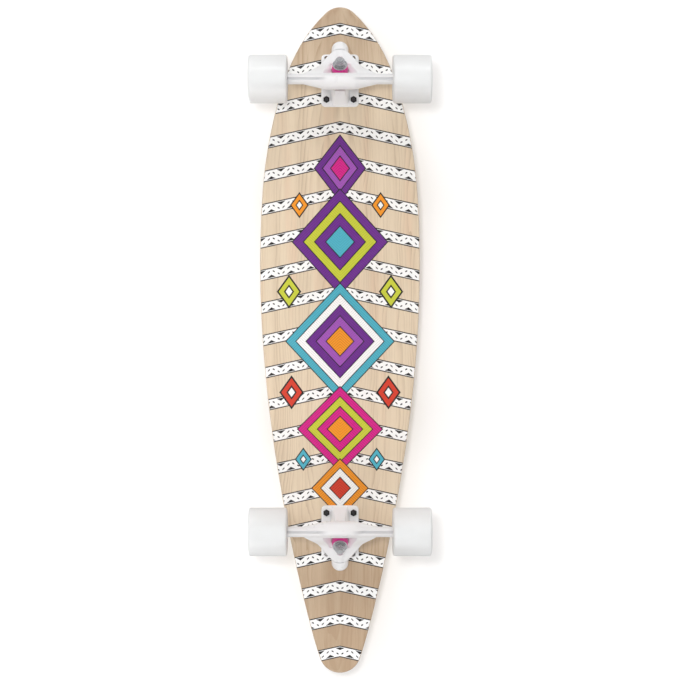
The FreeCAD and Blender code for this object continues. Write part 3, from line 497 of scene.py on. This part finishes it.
def top_maple(look):
    """Top veneer: bare maple under clear grit, with a lozenge of interlocked rings."""
    finish = Finish("top_maple", {"Specular IOR Level": 0.40})
    spacing = look.ring_spacing * TOP_RING_SHARE
    colour, fibres = maple(finish, look, shift=-0.006, figure=1.5, end_darkening=0.04, arch=0.17, ring_spacing=spacing)
    place = finish.place()
    x, y = finish.split(place)[:2]
    over = finish.facing()[2] > FACE_DIRECTION
    reach = lozenge(x, y, look.medallion_place, look.medallion_length / 2, look.medallion_width / 2)
    nearest = interlocked_rings(x - look.medallion_place, y, look.medallion_ring)
    for share, name in MEDALLION_BORDERS:
        inner = (reach < share) & over
        colour = finish.mix(inner, colour, ink(look, name))
    colour = finish.mix(inner & (nearest < look.medallion_ring * RING_EDGE_SHARE), colour, look.black_ink)
    colour = finish.mix(inner & (nearest < look.medallion_ring * RING_LINE_SHARE), colour, look.violet_ink)
    # The grit's lighter flecks are partly its pale colour and partly a painted highlight; its darker pits are
    # painted shade
    grit = finish.noise(place, 1500.0, 1.0, 0.6)
    fleck_and_painted_highlight = finish.ease(grit, 0.60, 0.72)
    colour = finish.mix(fleck_and_painted_highlight * over * 0.22, colour, look.grit_fleck_and_highlight)
    painted_pit_shade = finish.ease(grit, 0.36, 0.24)
    colour = finish.mix(painted_pit_shade * over * 0.18, colour, look.maple_dark)
    finish.set({
        "Base Color": colour,
        "Roughness": 0.62 - fleck_and_painted_highlight * over * 0.25 + finish.ease(reach, 0.0, 1.0) * 0.02,
        "Normal": finish.relief(grit * over + fibres * 0.10, depth=0.00022),
    })
    return finish.material


# Figure of the inner plies, in waves per metre along, across and through the deck
PLY_WAVES = (30.0, 400.0, 2600.0)
PLY_TONE_WAVES = (7.0, 7.0, 0.0)


def core_maple(name, light, dark):
    """Edge of an inner ply: fine fibres along the deck with a little glaze from the lacquer."""
    finish = Finish(name, {"Coat Weight": 0.15, "Coat Roughness": 0.25})
    place = finish.place()
    fibre = finish.grain(place, PLY_WAVES, 3.0)
    cells = finish.noise(place, 2200.0, 1.0)
    tone = finish.grain(place, PLY_TONE_WAVES, 2.0)
    dark_share = fibre * 0.55 + (cells - 0.5) * 0.35 + (tone - 0.5) * 0.4
    finish.set({
        "Base Color": finish.mix(dark_share | 0.0, light, dark),
        "Roughness": 0.44 + cells * 0.16,
        "Normal": finish.relief(fibre, depth=0.00006),
    })
    return finish.material


# Spare bolt holes at the outer end of each baseplate, from the truck's middle, and the plate they cross.
# Their walls are painted near black as shade.
SPARE_HOLE_OUTBOARD = 0.0365
SPARE_HOLE_SIDE = 0.0206
SPARE_HOLE_REACH = 0.0032
PLATE_THICKNESS = 0.006
PLATE_FACE_EASE = 0.0005
# Painted shade along the groove under each axle bar, standing in for the dark reflection along the bar: edge
# of its band, its fade towards the middle, and how far below the axle it is
GROOVE_EDGE = (0.0015, 0.0025)
GROOVE_FADE = (0.014, 0.034)
GROOVE_DROP = 0.004
# Shares of pointiness between which a surface turns from hollow to flat, over which the castings' painted
# shade in hollows fades out
HOLLOW_BEND = (0.42, 0.50)


def spare_hole(end):
    """Place of one spare bolt hole of a baseplate, on the left side."""
    low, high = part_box(end + "_deck_bolts")
    truck_x = (low.x + high.x) / 2
    return Vector((math.copysign(abs(truck_x) + SPARE_HOLE_OUTBOARD, truck_x), SPARE_HOLE_SIDE))


def white_casting(look):
    """Powder-coated cast metal with faint orange peel, painted shade in its hollows and along the axle bars'
    grooves, and spare holes painted near black as shade.
    """
    finish = Finish("white_casting", {"Coat Weight": 0.35, "Coat Roughness": 0.12, "Specular IOR Level": 0.5})
    axles = [sum(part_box(end + "_axle"), Vector()) / 2 for end in ENDS]
    holes = [spare_hole(end) for end in ENDS]
    plate_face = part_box("deck_bottom_veneer")[0].z - PLATE_THICKNESS
    place = finish.place()
    peel = finish.noise(place, 700.0, 2.0, 0.45)
    cloud = finish.noise(place, 45.0, 3.0)
    # Painted shade: hollows found by pointiness, and a band along each axle bar's groove, darken towards the
    # hollow colour
    painted_hollow_shade = 1.0 - finish.ease(finish.bend(), *HOLLOW_BEND)
    x, y, z = finish.split(place)
    beside = abs(x - axles[0].x) & abs(x - axles[1].x)
    painted_crease_shade = (1.0 - finish.ease(beside, *GROOVE_EDGE)) * finish.ease(abs(y), *GROOVE_FADE)
    painted_hollow_shade = painted_hollow_shade | painted_crease_shade * (z < axles[0].z - GROOVE_DROP)
    colour = finish.mix(painted_hollow_shade * 0.75 + (cloud - 0.5) * 0.10 | 0.0, look.casting_white, look.casting_painted_shade)
    along = abs(x - holes[0].x) & abs(x - holes[1].x)
    across = abs(y) - holes[0].y
    # Painted shade: the walls of the spare holes are painted near black
    painted_hole_shade = root(along * along + across * across) < SPARE_HOLE_REACH
    painted_hole_shade = painted_hole_shade & (z > plate_face + PLATE_FACE_EASE)
    finish.set({
        "Base Color": finish.mix(painted_hole_shade, colour, look.spare_hole_painted_shade),
        "Roughness": 0.30 + (cloud - 0.5) * 0.16 + painted_hollow_shade * 0.15,
        "Normal": finish.relief(peel, depth=0.00004),
    })
    return finish.material


# Steel: half the spacing of its turning lines, shares of pointiness over which its painted shade in hollows
# fades out, and the colour of its smudges and painted shade as a share of its own
TURNING_LINES = 0.00022
HOLLOW_SHADE_BEND = (0.40, 0.50)
SMUDGE_AND_SHADE_SHARE = 0.55


def turned_steel(name, colour, rough, axis, thread=None):
    """Bright steel with fine turning lines across an axis, and perhaps a screw thread on both ends. Random
    smudges darken it, and painted shade darkens its hollows and its thread's valleys.

    A thread is where it starts and ends, from the middle, and its pitch.
    """
    finish = Finish(name, {"Metallic": 1.0})
    place = finish.place()
    reach = abs(finish.along(place, axis))
    smear = finish.noise(place, 60.0, 3.0)
    grain = finish.noise(place, 1800.0, 2.0)
    lines = zigzag(reach, TURNING_LINES) * 0.5 + 0.5
    height = lines * 0.08 + grain * 0.02
    # Random smudges darken the steel, and painted shade darkens its hollows
    smudge_and_hollow_shade = smear * 0.26 + grain * 0.08 + (1.0 - finish.ease(finish.bend(), *HOLLOW_SHADE_BEND)) * 0.5
    if thread:
        low, high, pitch = thread
        span = (reach > low) & (reach < high)
        groove = zigzag(reach, pitch / 2) * 0.5 + 0.5
        height = height + span * groove * 1.6
        # Painted shade in the thread's valleys
        smudge_and_hollow_shade = smudge_and_hollow_shade + span * (1.0 - groove) * 0.55
    shade = tuple(part * SMUDGE_AND_SHADE_SHARE for part in colour)
    finish.set({
        "Base Color": finish.mix(smudge_and_hollow_shade, tuple(colour), shade),
        "Roughness": rough + (smear - 0.5) * 0.16 + grain * 0.06,
        "Normal": finish.relief(height, depth=0.00012),
    })
    return finish.material


# Colour deep in the bushings' urethane, as a share of the colour at its skin
DEEP_SHARE = 0.62


def bushing_urethane(look):
    """Glossy poured urethane with a cloudy depth and a fine moulding skin."""
    constants = {"Coat Weight": 0.40, "Coat Roughness": 0.10, "Subsurface Weight": 0.12}
    finish = Finish("bushing_urethane", constants)
    place = finish.place()
    cloud = finish.noise(place, 130.0, 3.0)
    skin = finish.noise(place, 1600.0, 1.0)
    deep = tuple(part * DEEP_SHARE for part in look.bushing_colour)
    finish.set({
        "Base Color": finish.mix(cloud * 0.55, tuple(look.bushing_colour), deep),
        "Roughness": 0.24 + cloud * 0.14,
        "Normal": finish.relief(skin, depth=0.00003),
    })
    return finish.material


# Deck bolts and nuts: thread pitch, and the height over which a head's colour gives way to the shank's
BOLT_THREAD_PITCH = 0.0008
HEAD_BLEND = 0.001


def coated_fastener(name, colour, shank, head_height, metallic, rough):
    """Coated steel of a small bolt or nut, rubbed brighter in places, in another colour below its head."""
    finish = Finish(name, {"Metallic": metallic, "Coat Weight": 0.25, "Coat Roughness": 0.2})
    place = finish.place()
    rub = finish.ease(finish.noise(place, 420.0, 3.0), 0.52, 0.74)
    grain = finish.noise(place, 1500.0, 2.0)
    height = finish.split(place)[2]
    groove = zigzag(height, BOLT_THREAD_PITCH / 2) * 0.5 + 0.5
    bright = tuple(min(1.0, part * 1.7 + 0.02) for part in colour)
    head = finish.ease(height, head_height - HEAD_BLEND, head_height + HEAD_BLEND)
    finish.set({
        "Base Color": finish.mix(head, shank, finish.mix(rub * 0.6, tuple(colour), bright)),
        "Roughness": rough - rub * 0.10 + grain * 0.10,
        "Normal": finish.relief(groove * 0.35 + grain * 0.3, depth=0.00008),
    })
    return finish.material


# Wheels: radii between which the face turns into the tread, half the lathe lines' spacing and the warm tint
TREAD_EDGE = (0.0335, 0.0352)
LATHE_LINES = 0.00045
WARM_SHARES = (0.93, 0.925, 0.91)


def wheel_urethane(look, name, axle):
    """Poured white urethane: faint lathe lines round the tread and a cloudy, slightly waxy depth."""
    finish = Finish(name, {"Coat Weight": 0.10, "Coat Roughness": 0.22, "Specular IOR Level": 0.5})
    place = finish.place()
    x, y, z = finish.split(place)
    rise = x - axle.x
    drop = z - axle.z
    radius = root(rise * rise + drop * drop)
    tread = finish.ease(radius, *TREAD_EDGE)
    lines = zigzag(abs(y), LATHE_LINES) * 0.5 + 0.5
    cloud = finish.noise(place, 60.0, 3.0)
    speck = finish.ease(finish.noise(place, 900.0, 1.0), 0.68, 0.76)
    warm = tuple(part * shade for part, shade in zip(look.urethane_white, WARM_SHARES))
    colour = finish.mix(cloud * 0.55, tuple(look.urethane_white), warm)
    colour = finish.mix(speck * 0.10, colour, look.speck_colour)
    finish.set({
        "Base Color": colour,
        "Roughness": 0.34 + tread * 0.10 + (cloud - 0.5) * 0.12,
        "Normal": finish.relief(lines * tread * 0.5 + cloud * 0.2, depth=0.00006),
    })
    return finish.material


# Moulded plastic: flow marks in waves per metre along each axis, and how dark they are
FLOW_WAVES = (120.0, 40.0, 120.0)
FLOW_SHADE_SHARE = 0.84


def moulded_plastic(name, colour, rough):
    """Moulded plastic with a fine spark-eroded skin and faint flow marks."""
    finish = Finish(name, {"Coat Weight": 0.1, "Coat Roughness": 0.3})
    place = finish.place()
    flow = finish.grain(place, FLOW_WAVES, 3.0)
    skin = finish.noise(place, 2400.0, 1.0)
    shade = tuple(part * FLOW_SHADE_SHARE for part in colour)
    finish.set({
        "Base Color": finish.mix(flow * 0.6, tuple(colour), shade),
        "Roughness": rough + (flow - 0.5) * 0.14,
        "Normal": finish.relief(skin, depth=0.00004),
    })
    return finish.material


# Darkest cloud on a studio sheet, as a share of its colour
SHEET_SHADE_SHARE = 0.975


def studio_sheet(name, colour, glow):
    """Pale sheet that is seen from its front only, so that no camera or lamp behind it is shut out."""
    finish = Finish(name, {"Roughness": 0.75, "Specular IOR Level": 0.2, "Emission Strength": glow})
    finish.set({"Emission Color": (1.0, 1.0, 1.0)})
    cloud = finish.noise(finish.place(), 1.7, 3.0)
    shade = tuple(part * SHEET_SHADE_SHARE for part in colour)
    finish.set({"Base Color": finish.mix(cloud, tuple(colour), shade)})
    back = finish.add("ShaderNodeNewGeometry", output="Backfacing")
    clear = finish.add("ShaderNodeBsdfTransparent")
    top = Value(finish, finish.surface.outputs[0])
    both = finish.add("ShaderNodeMixShader", inputs={0: back, 1: top, 2: clear})
    finish.tree.links.new(both.socket, finish.tree.nodes["Material Output"].inputs["Surface"])
    return finish.material


# Pieces


# Points closer than this are one point
MERGE_DISTANCE = 1e-6


def coat(node, material):
    """Gives a node of the frame its finish."""
    for holder in frame["nodes"][node].material_slots:
        holder.material = material


def piece_object(name, shape, material, crease_deg):
    """Object at the origin from a bmesh, smooth apart from edges sharper than an angle."""
    mesh = bpy.data.meshes.new(name)
    shape.to_mesh(mesh)
    shape.free()
    mesh.shade_smooth()
    mesh.set_sharp_from_angle(angle=math.radians(crease_deg))
    mesh.materials.append(material)
    piece = bpy.data.objects.new(name, mesh)
    bpy.context.scene.collection.objects.link(piece)
    return piece


def profile_face(shape, corners):
    """Flat face in the XY plane through the corners of a profile, radius along X and length along Y."""
    return shape.faces.new([shape.verts.new((radius, length, 0.0)) for radius, length in corners])


def round_corners(shape, corners, radius, segments):
    """Rounds some of a flat profile's corners."""
    bmesh.ops.bevel(
        shape, geom=corners, offset=radius, offset_type="OFFSET", segments=segments, profile=0.5,
        affect="VERTICES", material=-1, clamp_overlap=True,
    )


def spin_profile(shape, steps):
    """Turns a flat profile into a closed ring about the Y axis."""
    bmesh.ops.delete(shape, geom=shape.faces[:], context="FACES_ONLY")
    bmesh.ops.spin(
        shape, geom=shape.verts[:] + shape.edges[:], cent=(0, 0, 0), axis=(0, 1, 0), dvec=(0, 0, 0),
        angle=math.tau, steps=steps, use_merge=True, use_normal_flip=False, use_duplicate=False,
    )
    bmesh.ops.remove_doubles(shape, verts=shape.verts[:], dist=MERGE_DISTANCE)
    bmesh.ops.recalc_face_normals(shape, faces=shape.faces[:])


# Castings: strength and number of the smoothing rounds that ease their edges
EASE_FACTOR = 0.5
EASE_ROUNDS = 7


def eased_copy(node, name, material, voxel):
    """Copy of a cast node with every edge softly rounded, as a casting leaves its mould."""
    shape = bmesh.new()
    shape.from_mesh(frame["nodes"][node].data)
    bmesh.ops.remove_doubles(shape, verts=shape.verts[:], dist=MERGE_DISTANCE)
    piece = piece_object(name, shape, material, 180)
    skin = piece.modifiers.new("skin", "REMESH")
    skin.mode = "VOXEL"
    skin.voxel_size = voxel
    skin.use_smooth_shade = True
    ease = piece.modifiers.new("ease", "SMOOTH")
    ease.factor = EASE_FACTOR
    ease.iterations = EASE_ROUNDS
    seen = piece.evaluated_get(bpy.context.evaluated_depsgraph_get())
    mesh = bpy.data.meshes.new_from_object(seen)
    piece.modifiers.clear()
    piece.data = mesh
    return piece


def kingpin_line(end):
    """Centre of a hanger's ring and the direction of its kingpin towards the deck."""
    joint = STEER_JOINTS[end + "_steer"]
    steer = Vector(joint["axis"]).normalized()
    up = Vector((-steer.z, 0.0, steer.x))
    if up.z < 0:
        up.negate()
    return Vector(joint["pos_m"]), up


def bushing_span(node, centre, up):
    """Distances along the kingpin at which a bushing of the frame starts and ends."""
    reaches = [(vertex.co - centre).dot(up) for vertex in frame["nodes"][node].data.vertices]
    return min(reaches), max(reaches)


# Bushings: round of the rims, least length of a side that swells, its cuts, and steps round the barrel
RIM_ROUND = 0.0011
LEAST_SIDE = 0.006
SIDE_CUTS = 18
BARREL_STEPS = 72
# Share of the barrel's radius beyond which a point belongs to its outside
OUTSIDE_SHARE = 0.75


def bushing_barrel(name, node, end, look, material):
    """Rounded barrel in a bushing's place, with a bore that widens towards the hanger."""
    centre, up = kingpin_line(end)
    low, high = bushing_span(node, centre, up)
    washer_end, ring_end = (low, high) if high < 0 else (high, low)
    reach = max(((vertex.co - centre) - up * (vertex.co - centre).dot(up)).length
                for vertex in frame["nodes"][node].data.vertices)
    middle = (low + high) / 2
    outer = reach - look.bushing_bulge
    shape = bmesh.new()
    face = profile_face(shape, (
        (look.bushing_flare, ring_end),
        (outer, ring_end),
        (outer, washer_end),
        (look.bushing_bore, washer_end),
    ))
    round_corners(shape, [face.verts[1], face.verts[2]], RIM_ROUND, 4)
    bmesh.ops.delete(shape, geom=shape.faces[:], context="FACES_ONLY")
    tall = [edge for edge in shape.edges if edge.calc_length() > LEAST_SIDE]
    bmesh.ops.subdivide_edges(shape, edges=tall, cuts=SIDE_CUTS)
    for vertex in shape.verts:
        share = (vertex.co.y - middle) / (high - low) * 2
        if vertex.co.x > outer * OUTSIDE_SHARE:
            vertex.co.x += look.bushing_bulge * (1 - share * share)
    spin_profile(shape, BARREL_STEPS)
    turn = Vector((0, 1, 0)).rotation_difference(up).to_matrix().to_4x4()
    bmesh.ops.transform(shape, matrix=Matrix.Translation(centre) @ turn, verts=shape.verts[:])
    piece = piece_object(name, shape, material, 40)
    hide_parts(node)
    centre + up * washer_end
    centre + up * ring_end
    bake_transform(piece)


# Wheels: segments of the rounded lips and of the mouth's edge, and steps round the wheel
LIP_SEGMENTS = 8
MOUTH_SEGMENTS = 4
WHEEL_STEPS = 128


def wheel_ring(name, node, core, look, material):
    """Urethane wheel with round lips, a flared mouth on each face and a moulded step inside each mouth."""
    low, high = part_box(node)
    core_low, core_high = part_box(core)
    axle = (low + high) / 2
    outer = (high.z - low.z) / 2
    bore = (core_high.z - core_low.z) / 2
    mouth = look.mouth_radius
    step = look.mouth_step

    def mouth_corners(face_y, core_y):
        half_radius = (mouth + bore) / 2
        half_y = (face_y + core_y) / 2
        way = 1 if face_y > core_y else -1
        return [
            (mouth, face_y),
            (half_radius + step, half_y + way * step),
            (half_radius, half_y),
            (bore, core_y),
        ]

    near = mouth_corners(low.y, core_low.y)
    far = mouth_corners(high.y, core_high.y)
    corners = [(outer, low.y), (outer, high.y)] + far + near[::-1]
    shape = bmesh.new()
    face = profile_face(shape, corners)
    lips = [face.verts[0], face.verts[1]]
    edges = [face.verts[2], face.verts[9]]
    round_corners(shape, lips, look.lip_radius, LIP_SEGMENTS)
    round_corners(shape, edges, look.mouth_round, MOUTH_SEGMENTS)
    spin_profile(shape, WHEEL_STEPS)
    bmesh.ops.translate(shape, vec=(axle.x, 0.0, axle.z), verts=shape.verts[:])
    return piece_object(name, shape, material, 50)


class LONGBOARD_OT_deck(bpy.types.Operator):
    """Finish the seven plies of the deck"""

    bl_idname = "longboard.deck"
    bl_label = "Deck plies"

    def execute(self, context):
        look = context.scene.longboard_deck
        coat("deck_bottom_veneer", printed_maple(look))
        coat("deck_top_veneer", top_maple(look))
        along = core_maple("core_maple_along", look.maple_light, look.maple_dark)
        across = core_maple("core_maple_across", look.cross_ply, look.maple_dark)
        for number in range(2, 7):
            coat("deck_ply_%d" % number, along if number % 2 else across)
        return {"FINISHED"}


class LONGBOARD_OT_castings(bpy.types.Operator):
    """Make the eased white castings of both trucks"""

    bl_idname = "longboard.castings"
    bl_label = "Truck castings"

    def execute(self, context):
        look = context.scene.longboard_trucks
        white = white_casting(look)
        for end in ENDS:
            for kind, body in (("hanger", end + "_hanger"), ("baseplate", "deck")):
                node = end + "_" + kind
                piece = eased_copy(node, node + "_casting", white, look.casting_voxel)
                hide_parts(node)
                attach(piece, body)
        return {"FINISHED"}


class LONGBOARD_OT_bushings(bpy.types.Operator):
    """Make the urethane bushings between deck and hanger"""

    bl_idname = "longboard.bushings"
    bl_label = "Bushings"

    def execute(self, context):
        look = context.scene.longboard_trucks
        urethane = bushing_urethane(look)
        for end in ENDS:
            for place in ("boardside", "roadside"):
                node = end + "_" + place + "_bushing"
                bushing_barrel(node + "_barrel", node, end, look, urethane)
        return {"FINISHED"}


# Axle thread: how far it reaches from the axle's end, the chamfer it stops at and its pitch
AXLE_THREAD_LENGTH = 0.0115
AXLE_CHAMFER = 0.0004
AXLE_THREAD_PITCH = 0.00125
# Deck bolts: where their colour starts above the deck's lowest point, and a shank's shade against a nut's
BOLT_COLOUR_HEIGHT = 0.004
SHANK_SHARE = 3.0


class LONGBOARD_OT_steelwork(bpy.types.Operator):
    """Finish the kingpins, washers, nuts, axles, bolts, bearings and pivot cups"""

    bl_idname = "longboard.steelwork"
    bl_label = "Steelwork"

    def execute(self, context):
        look = context.scene.longboard_trucks
        steel = look.steel_colour
        across = (0.0, 1.0, 0.0)
        axle_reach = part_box("front_axle")[1].y
        thread = (axle_reach - AXLE_THREAD_LENGTH, axle_reach - AXLE_CHAMFER, AXLE_THREAD_PITCH)
        axle_steel = turned_steel("axle_steel", steel, 0.26, across, thread)
        plain_steel = turned_steel("turned_steel", steel, 0.24, across)
        bearing_steel = turned_steel("bearing_steel", look.bearing_colour, 0.16, across)
        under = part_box("deck_bottom_veneer")[0].z
        shank = tuple(part * SHANK_SHARE for part in look.nut_colour)
        head_height = under + BOLT_COLOUR_HEIGHT
        bolt = coated_fastener("purple_bolt", look.bolt_colour, shank, head_height, 0.6, 0.34)
        nut = coated_fastener("black_nut", look.nut_colour, look.nut_colour, under, 0.4, 0.42)
        cup = moulded_plastic("cup_urethane", look.cup_colour, 0.5)
        for end in ENDS:
            kingpin_up = tuple(kingpin_line(end)[1])
            kingpin_steel = turned_steel(end + "_kingpin_steel", steel, 0.24, kingpin_up)
            for kind in ("kingpin", "kingpin_nut", "boardside_washer", "roadside_washer"):
                coat(end + "_" + kind, kingpin_steel)
            coat(end + "_axle", axle_steel)
            for kind in ("axle_nuts", "speed_rings", "bearing_spacers"):
                coat(end + "_" + kind, plain_steel)
            coat(end + "_bearing_inner_rings", bearing_steel)
            coat(end + "_deck_bolts", bolt)
            coat(end + "_deck_nuts", nut)
            coat(end + "_pivot_cup", cup)
            for side in SIDES:
                coat(end + "_" + side + "_bearing_outer_rings", bearing_steel)
                coat(end + "_" + side + "_bearing_balls", bearing_steel)
        return {"FINISHED"}


class LONGBOARD_OT_wheels(bpy.types.Operator):
    """Make the four urethane wheels and finish their cores"""

    bl_idname = "longboard.wheels"
    bl_label = "Wheels"

    def execute(self, context):
        look = context.scene.longboard_wheels
        core_plastic = moulded_plastic("core_plastic", look.core_white, 0.34)
        for end in ENDS:
            low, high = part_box(end + "_left_tyre")
            urethane = wheel_urethane(look, end + "_wheel_urethane", (low + high) / 2)
            for side in SIDES:
                wheel = end + "_" + side
                tyre = wheel + "_tyre"
                piece = wheel_ring(wheel + "_urethane", tyre, wheel + "_wheel_core", look, urethane)
                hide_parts(tyre)
                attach(piece, wheel + "_wheel")
                coat(wheel + "_wheel_core", core_plastic)
        return {"FINISHED"}


# Soft lamps: place and size in metres, power in watts, and whether glossy surfaces mirror them
LAMPS = {
    "sky_light": ((-0.6, -1.4, 2.6), (2.0, 1.6), 27.0, True),
    "side_light": ((1.8, 1.6, 1.5), (1.6, 1.2), 11.0, True),
    "nose_light": ((2.4, -0.2, -1.5), (1.3, 0.8), 15.0, True),
    "tail_light": ((-2.4, -0.2, -1.5), (1.3, 0.8), 14.0, True),
    "under_light": ((0.9, -1.2, -2.6), (1.5, 1.2), 9.0, True),
    "front_light": ((0.25, -0.25, -2.85), (0.36, 0.36), 24.0, False),
}
LAMP_TARGET = Vector((0.0, 0.0, 0.08))
BACKDROP_GLOW = 0.01
SHEET_CELLS = 8
# Slopes between which the horizon's light gives way to the zenith's
HORIZON_BLEND = (0.05, 0.65)
SENSOR_WIDTH_MM = 36.0


def soft_light(name, place, size, power, mirrored):
    """Soft lamp that lights the object and is not seen itself."""
    lamp = bpy.data.lights.new(name, "AREA")
    lamp.shape = "RECTANGLE"
    lamp.size, lamp.size_y = size
    lamp.energy = power
    holder = bpy.data.objects.new(name, lamp)
    holder.location = place
    holder.rotation_euler = (LAMP_TARGET - Vector(place)).to_track_quat("-Z", "Y").to_euler()
    holder.visible_camera = False
    holder.visible_glossy = mirrored
    bpy.context.scene.collection.objects.link(holder)


def sheet(name, height, size, material, faces_down):
    """Square sheet of the studio that shades nothing and is seen from one side."""
    shape = bmesh.new()
    bmesh.ops.create_grid(shape, x_segments=SHEET_CELLS, y_segments=SHEET_CELLS, size=size / 2)
    bmesh.ops.translate(shape, vec=(0.0, 0.0, height), verts=shape.verts[:])
    if faces_down:
        bmesh.ops.reverse_faces(shape, faces=shape.faces[:])
    ground = piece_object(name, shape, material, 30)
    ground.visible_shadow = False
    ground.visible_diffuse = not faces_down
    ground.visible_glossy = not faces_down


class LONGBOARD_OT_stage(bpy.types.Operator):
    """Set up the floor, the sheet behind the board, the lights and the camera below the board"""

    bl_idname = "longboard.stage"
    bl_label = "Stage"

    def execute(self, context):
        look = context.scene.longboard_stage
        scene = context.scene
        sheet("floor", 0.0, look.floor_size, studio_sheet("floor_sheet", look.floor_colour, 0.0), False)
        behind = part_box("deck_top_veneer")[1].z + look.backdrop_gap
        white = studio_sheet("backdrop_sheet", look.backdrop_colour, BACKDROP_GLOW)
        sheet("backdrop", behind, look.floor_size, white, True)
        world = bpy.data.worlds.new("studio")
        world.use_nodes = True
        sky = Nodes(world.node_tree)
        rise = abs(sky.split(sky.add("ShaderNodeTexCoord", output="Generated"))[2])
        horizon = (look.horizon_light,) * 3
        zenith = (look.zenith_light,) * 3
        light = sky.mix(sky.ease(rise, *HORIZON_BLEND), horizon, zenith)
        sky.feed(world.node_tree.nodes["Background"].inputs["Color"], light)
        scene.world = world
        scene.view_settings.view_transform = "Standard"
        for name, settings in LAMPS.items():
            soft_light(name, *settings)
        lens = bpy.data.cameras.new("camera")
        lens.sensor_width = SENSOR_WIDTH_MM
        lens.lens = lens.sensor_width * look.camera_distance / look.frame_height
        camera = bpy.data.objects.new("camera", lens)
        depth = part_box("deck_bottom_veneer")[0].z - look.camera_distance
        camera.matrix_world = Matrix(((0, 1, 0, 0), (1, 0, 0, 0), (0, 0, -1, depth), (0, 0, 0, 1)))
        scene.collection.objects.link(camera)
        scene.camera = camera
        return {"FINISHED"}


OPERATORS = (
    LONGBOARD_OT_deck,
    LONGBOARD_OT_castings,
    LONGBOARD_OT_bushings,
    LONGBOARD_OT_steelwork,
    LONGBOARD_OT_wheels,
    LONGBOARD_OT_stage,
)
LOOKS = {
    "longboard_deck": LongboardDeckLook,
    "longboard_trucks": LongboardTruckLook,
    "longboard_wheels": LongboardWheelLook,
    "longboard_stage": LongboardStageLook,
}


class LONGBOARD_PT_looks(bpy.types.Panel):
    """Lists the steps that dress the longboard, with their settings"""

    bl_label = "Longboard looks"
    bl_idname = "LONGBOARD_PT_looks"
    bl_space_type = "VIEW_3D"
    bl_region_type = "UI"
    bl_category = "Longboard"

    def draw(self, context):
        for operator in OPERATORS:
            self.layout.operator(operator.bl_idname)
        for name in LOOKS:
            box = self.layout.box()
            look = getattr(context.scene, name)
            for setting in look.bl_rna.properties:
                if not setting.is_readonly and setting.identifier != "name":
                    box.prop(look, setting.identifier)


def register():
    for look in LOOKS.values():
        bpy.utils.register_class(look)
    for operator in OPERATORS:
        bpy.utils.register_class(operator)
    bpy.utils.register_class(LONGBOARD_PT_looks)
    for name, look in LOOKS.items():
        setattr(bpy.types.Scene, name, bpy.props.PointerProperty(type=look))


def unregister():
    for name in LOOKS:
        delattr(bpy.types.Scene, name)
    bpy.utils.unregister_class(LONGBOARD_PT_looks)
    for operator in reversed(OPERATORS):
        bpy.utils.unregister_class(operator)
    for look in reversed(LOOKS.values()):
        bpy.utils.unregister_class(look)


def main():
    """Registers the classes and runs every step."""
    register()
    bpy.ops.longboard.deck()
    bpy.ops.longboard.castings()
    bpy.ops.longboard.bushings()
    bpy.ops.longboard.steelwork()
    bpy.ops.longboard.wheels()
    bpy.ops.longboard.stage()
    bpy.context.view_layer.update()


if __name__ == "__main__":
    main()
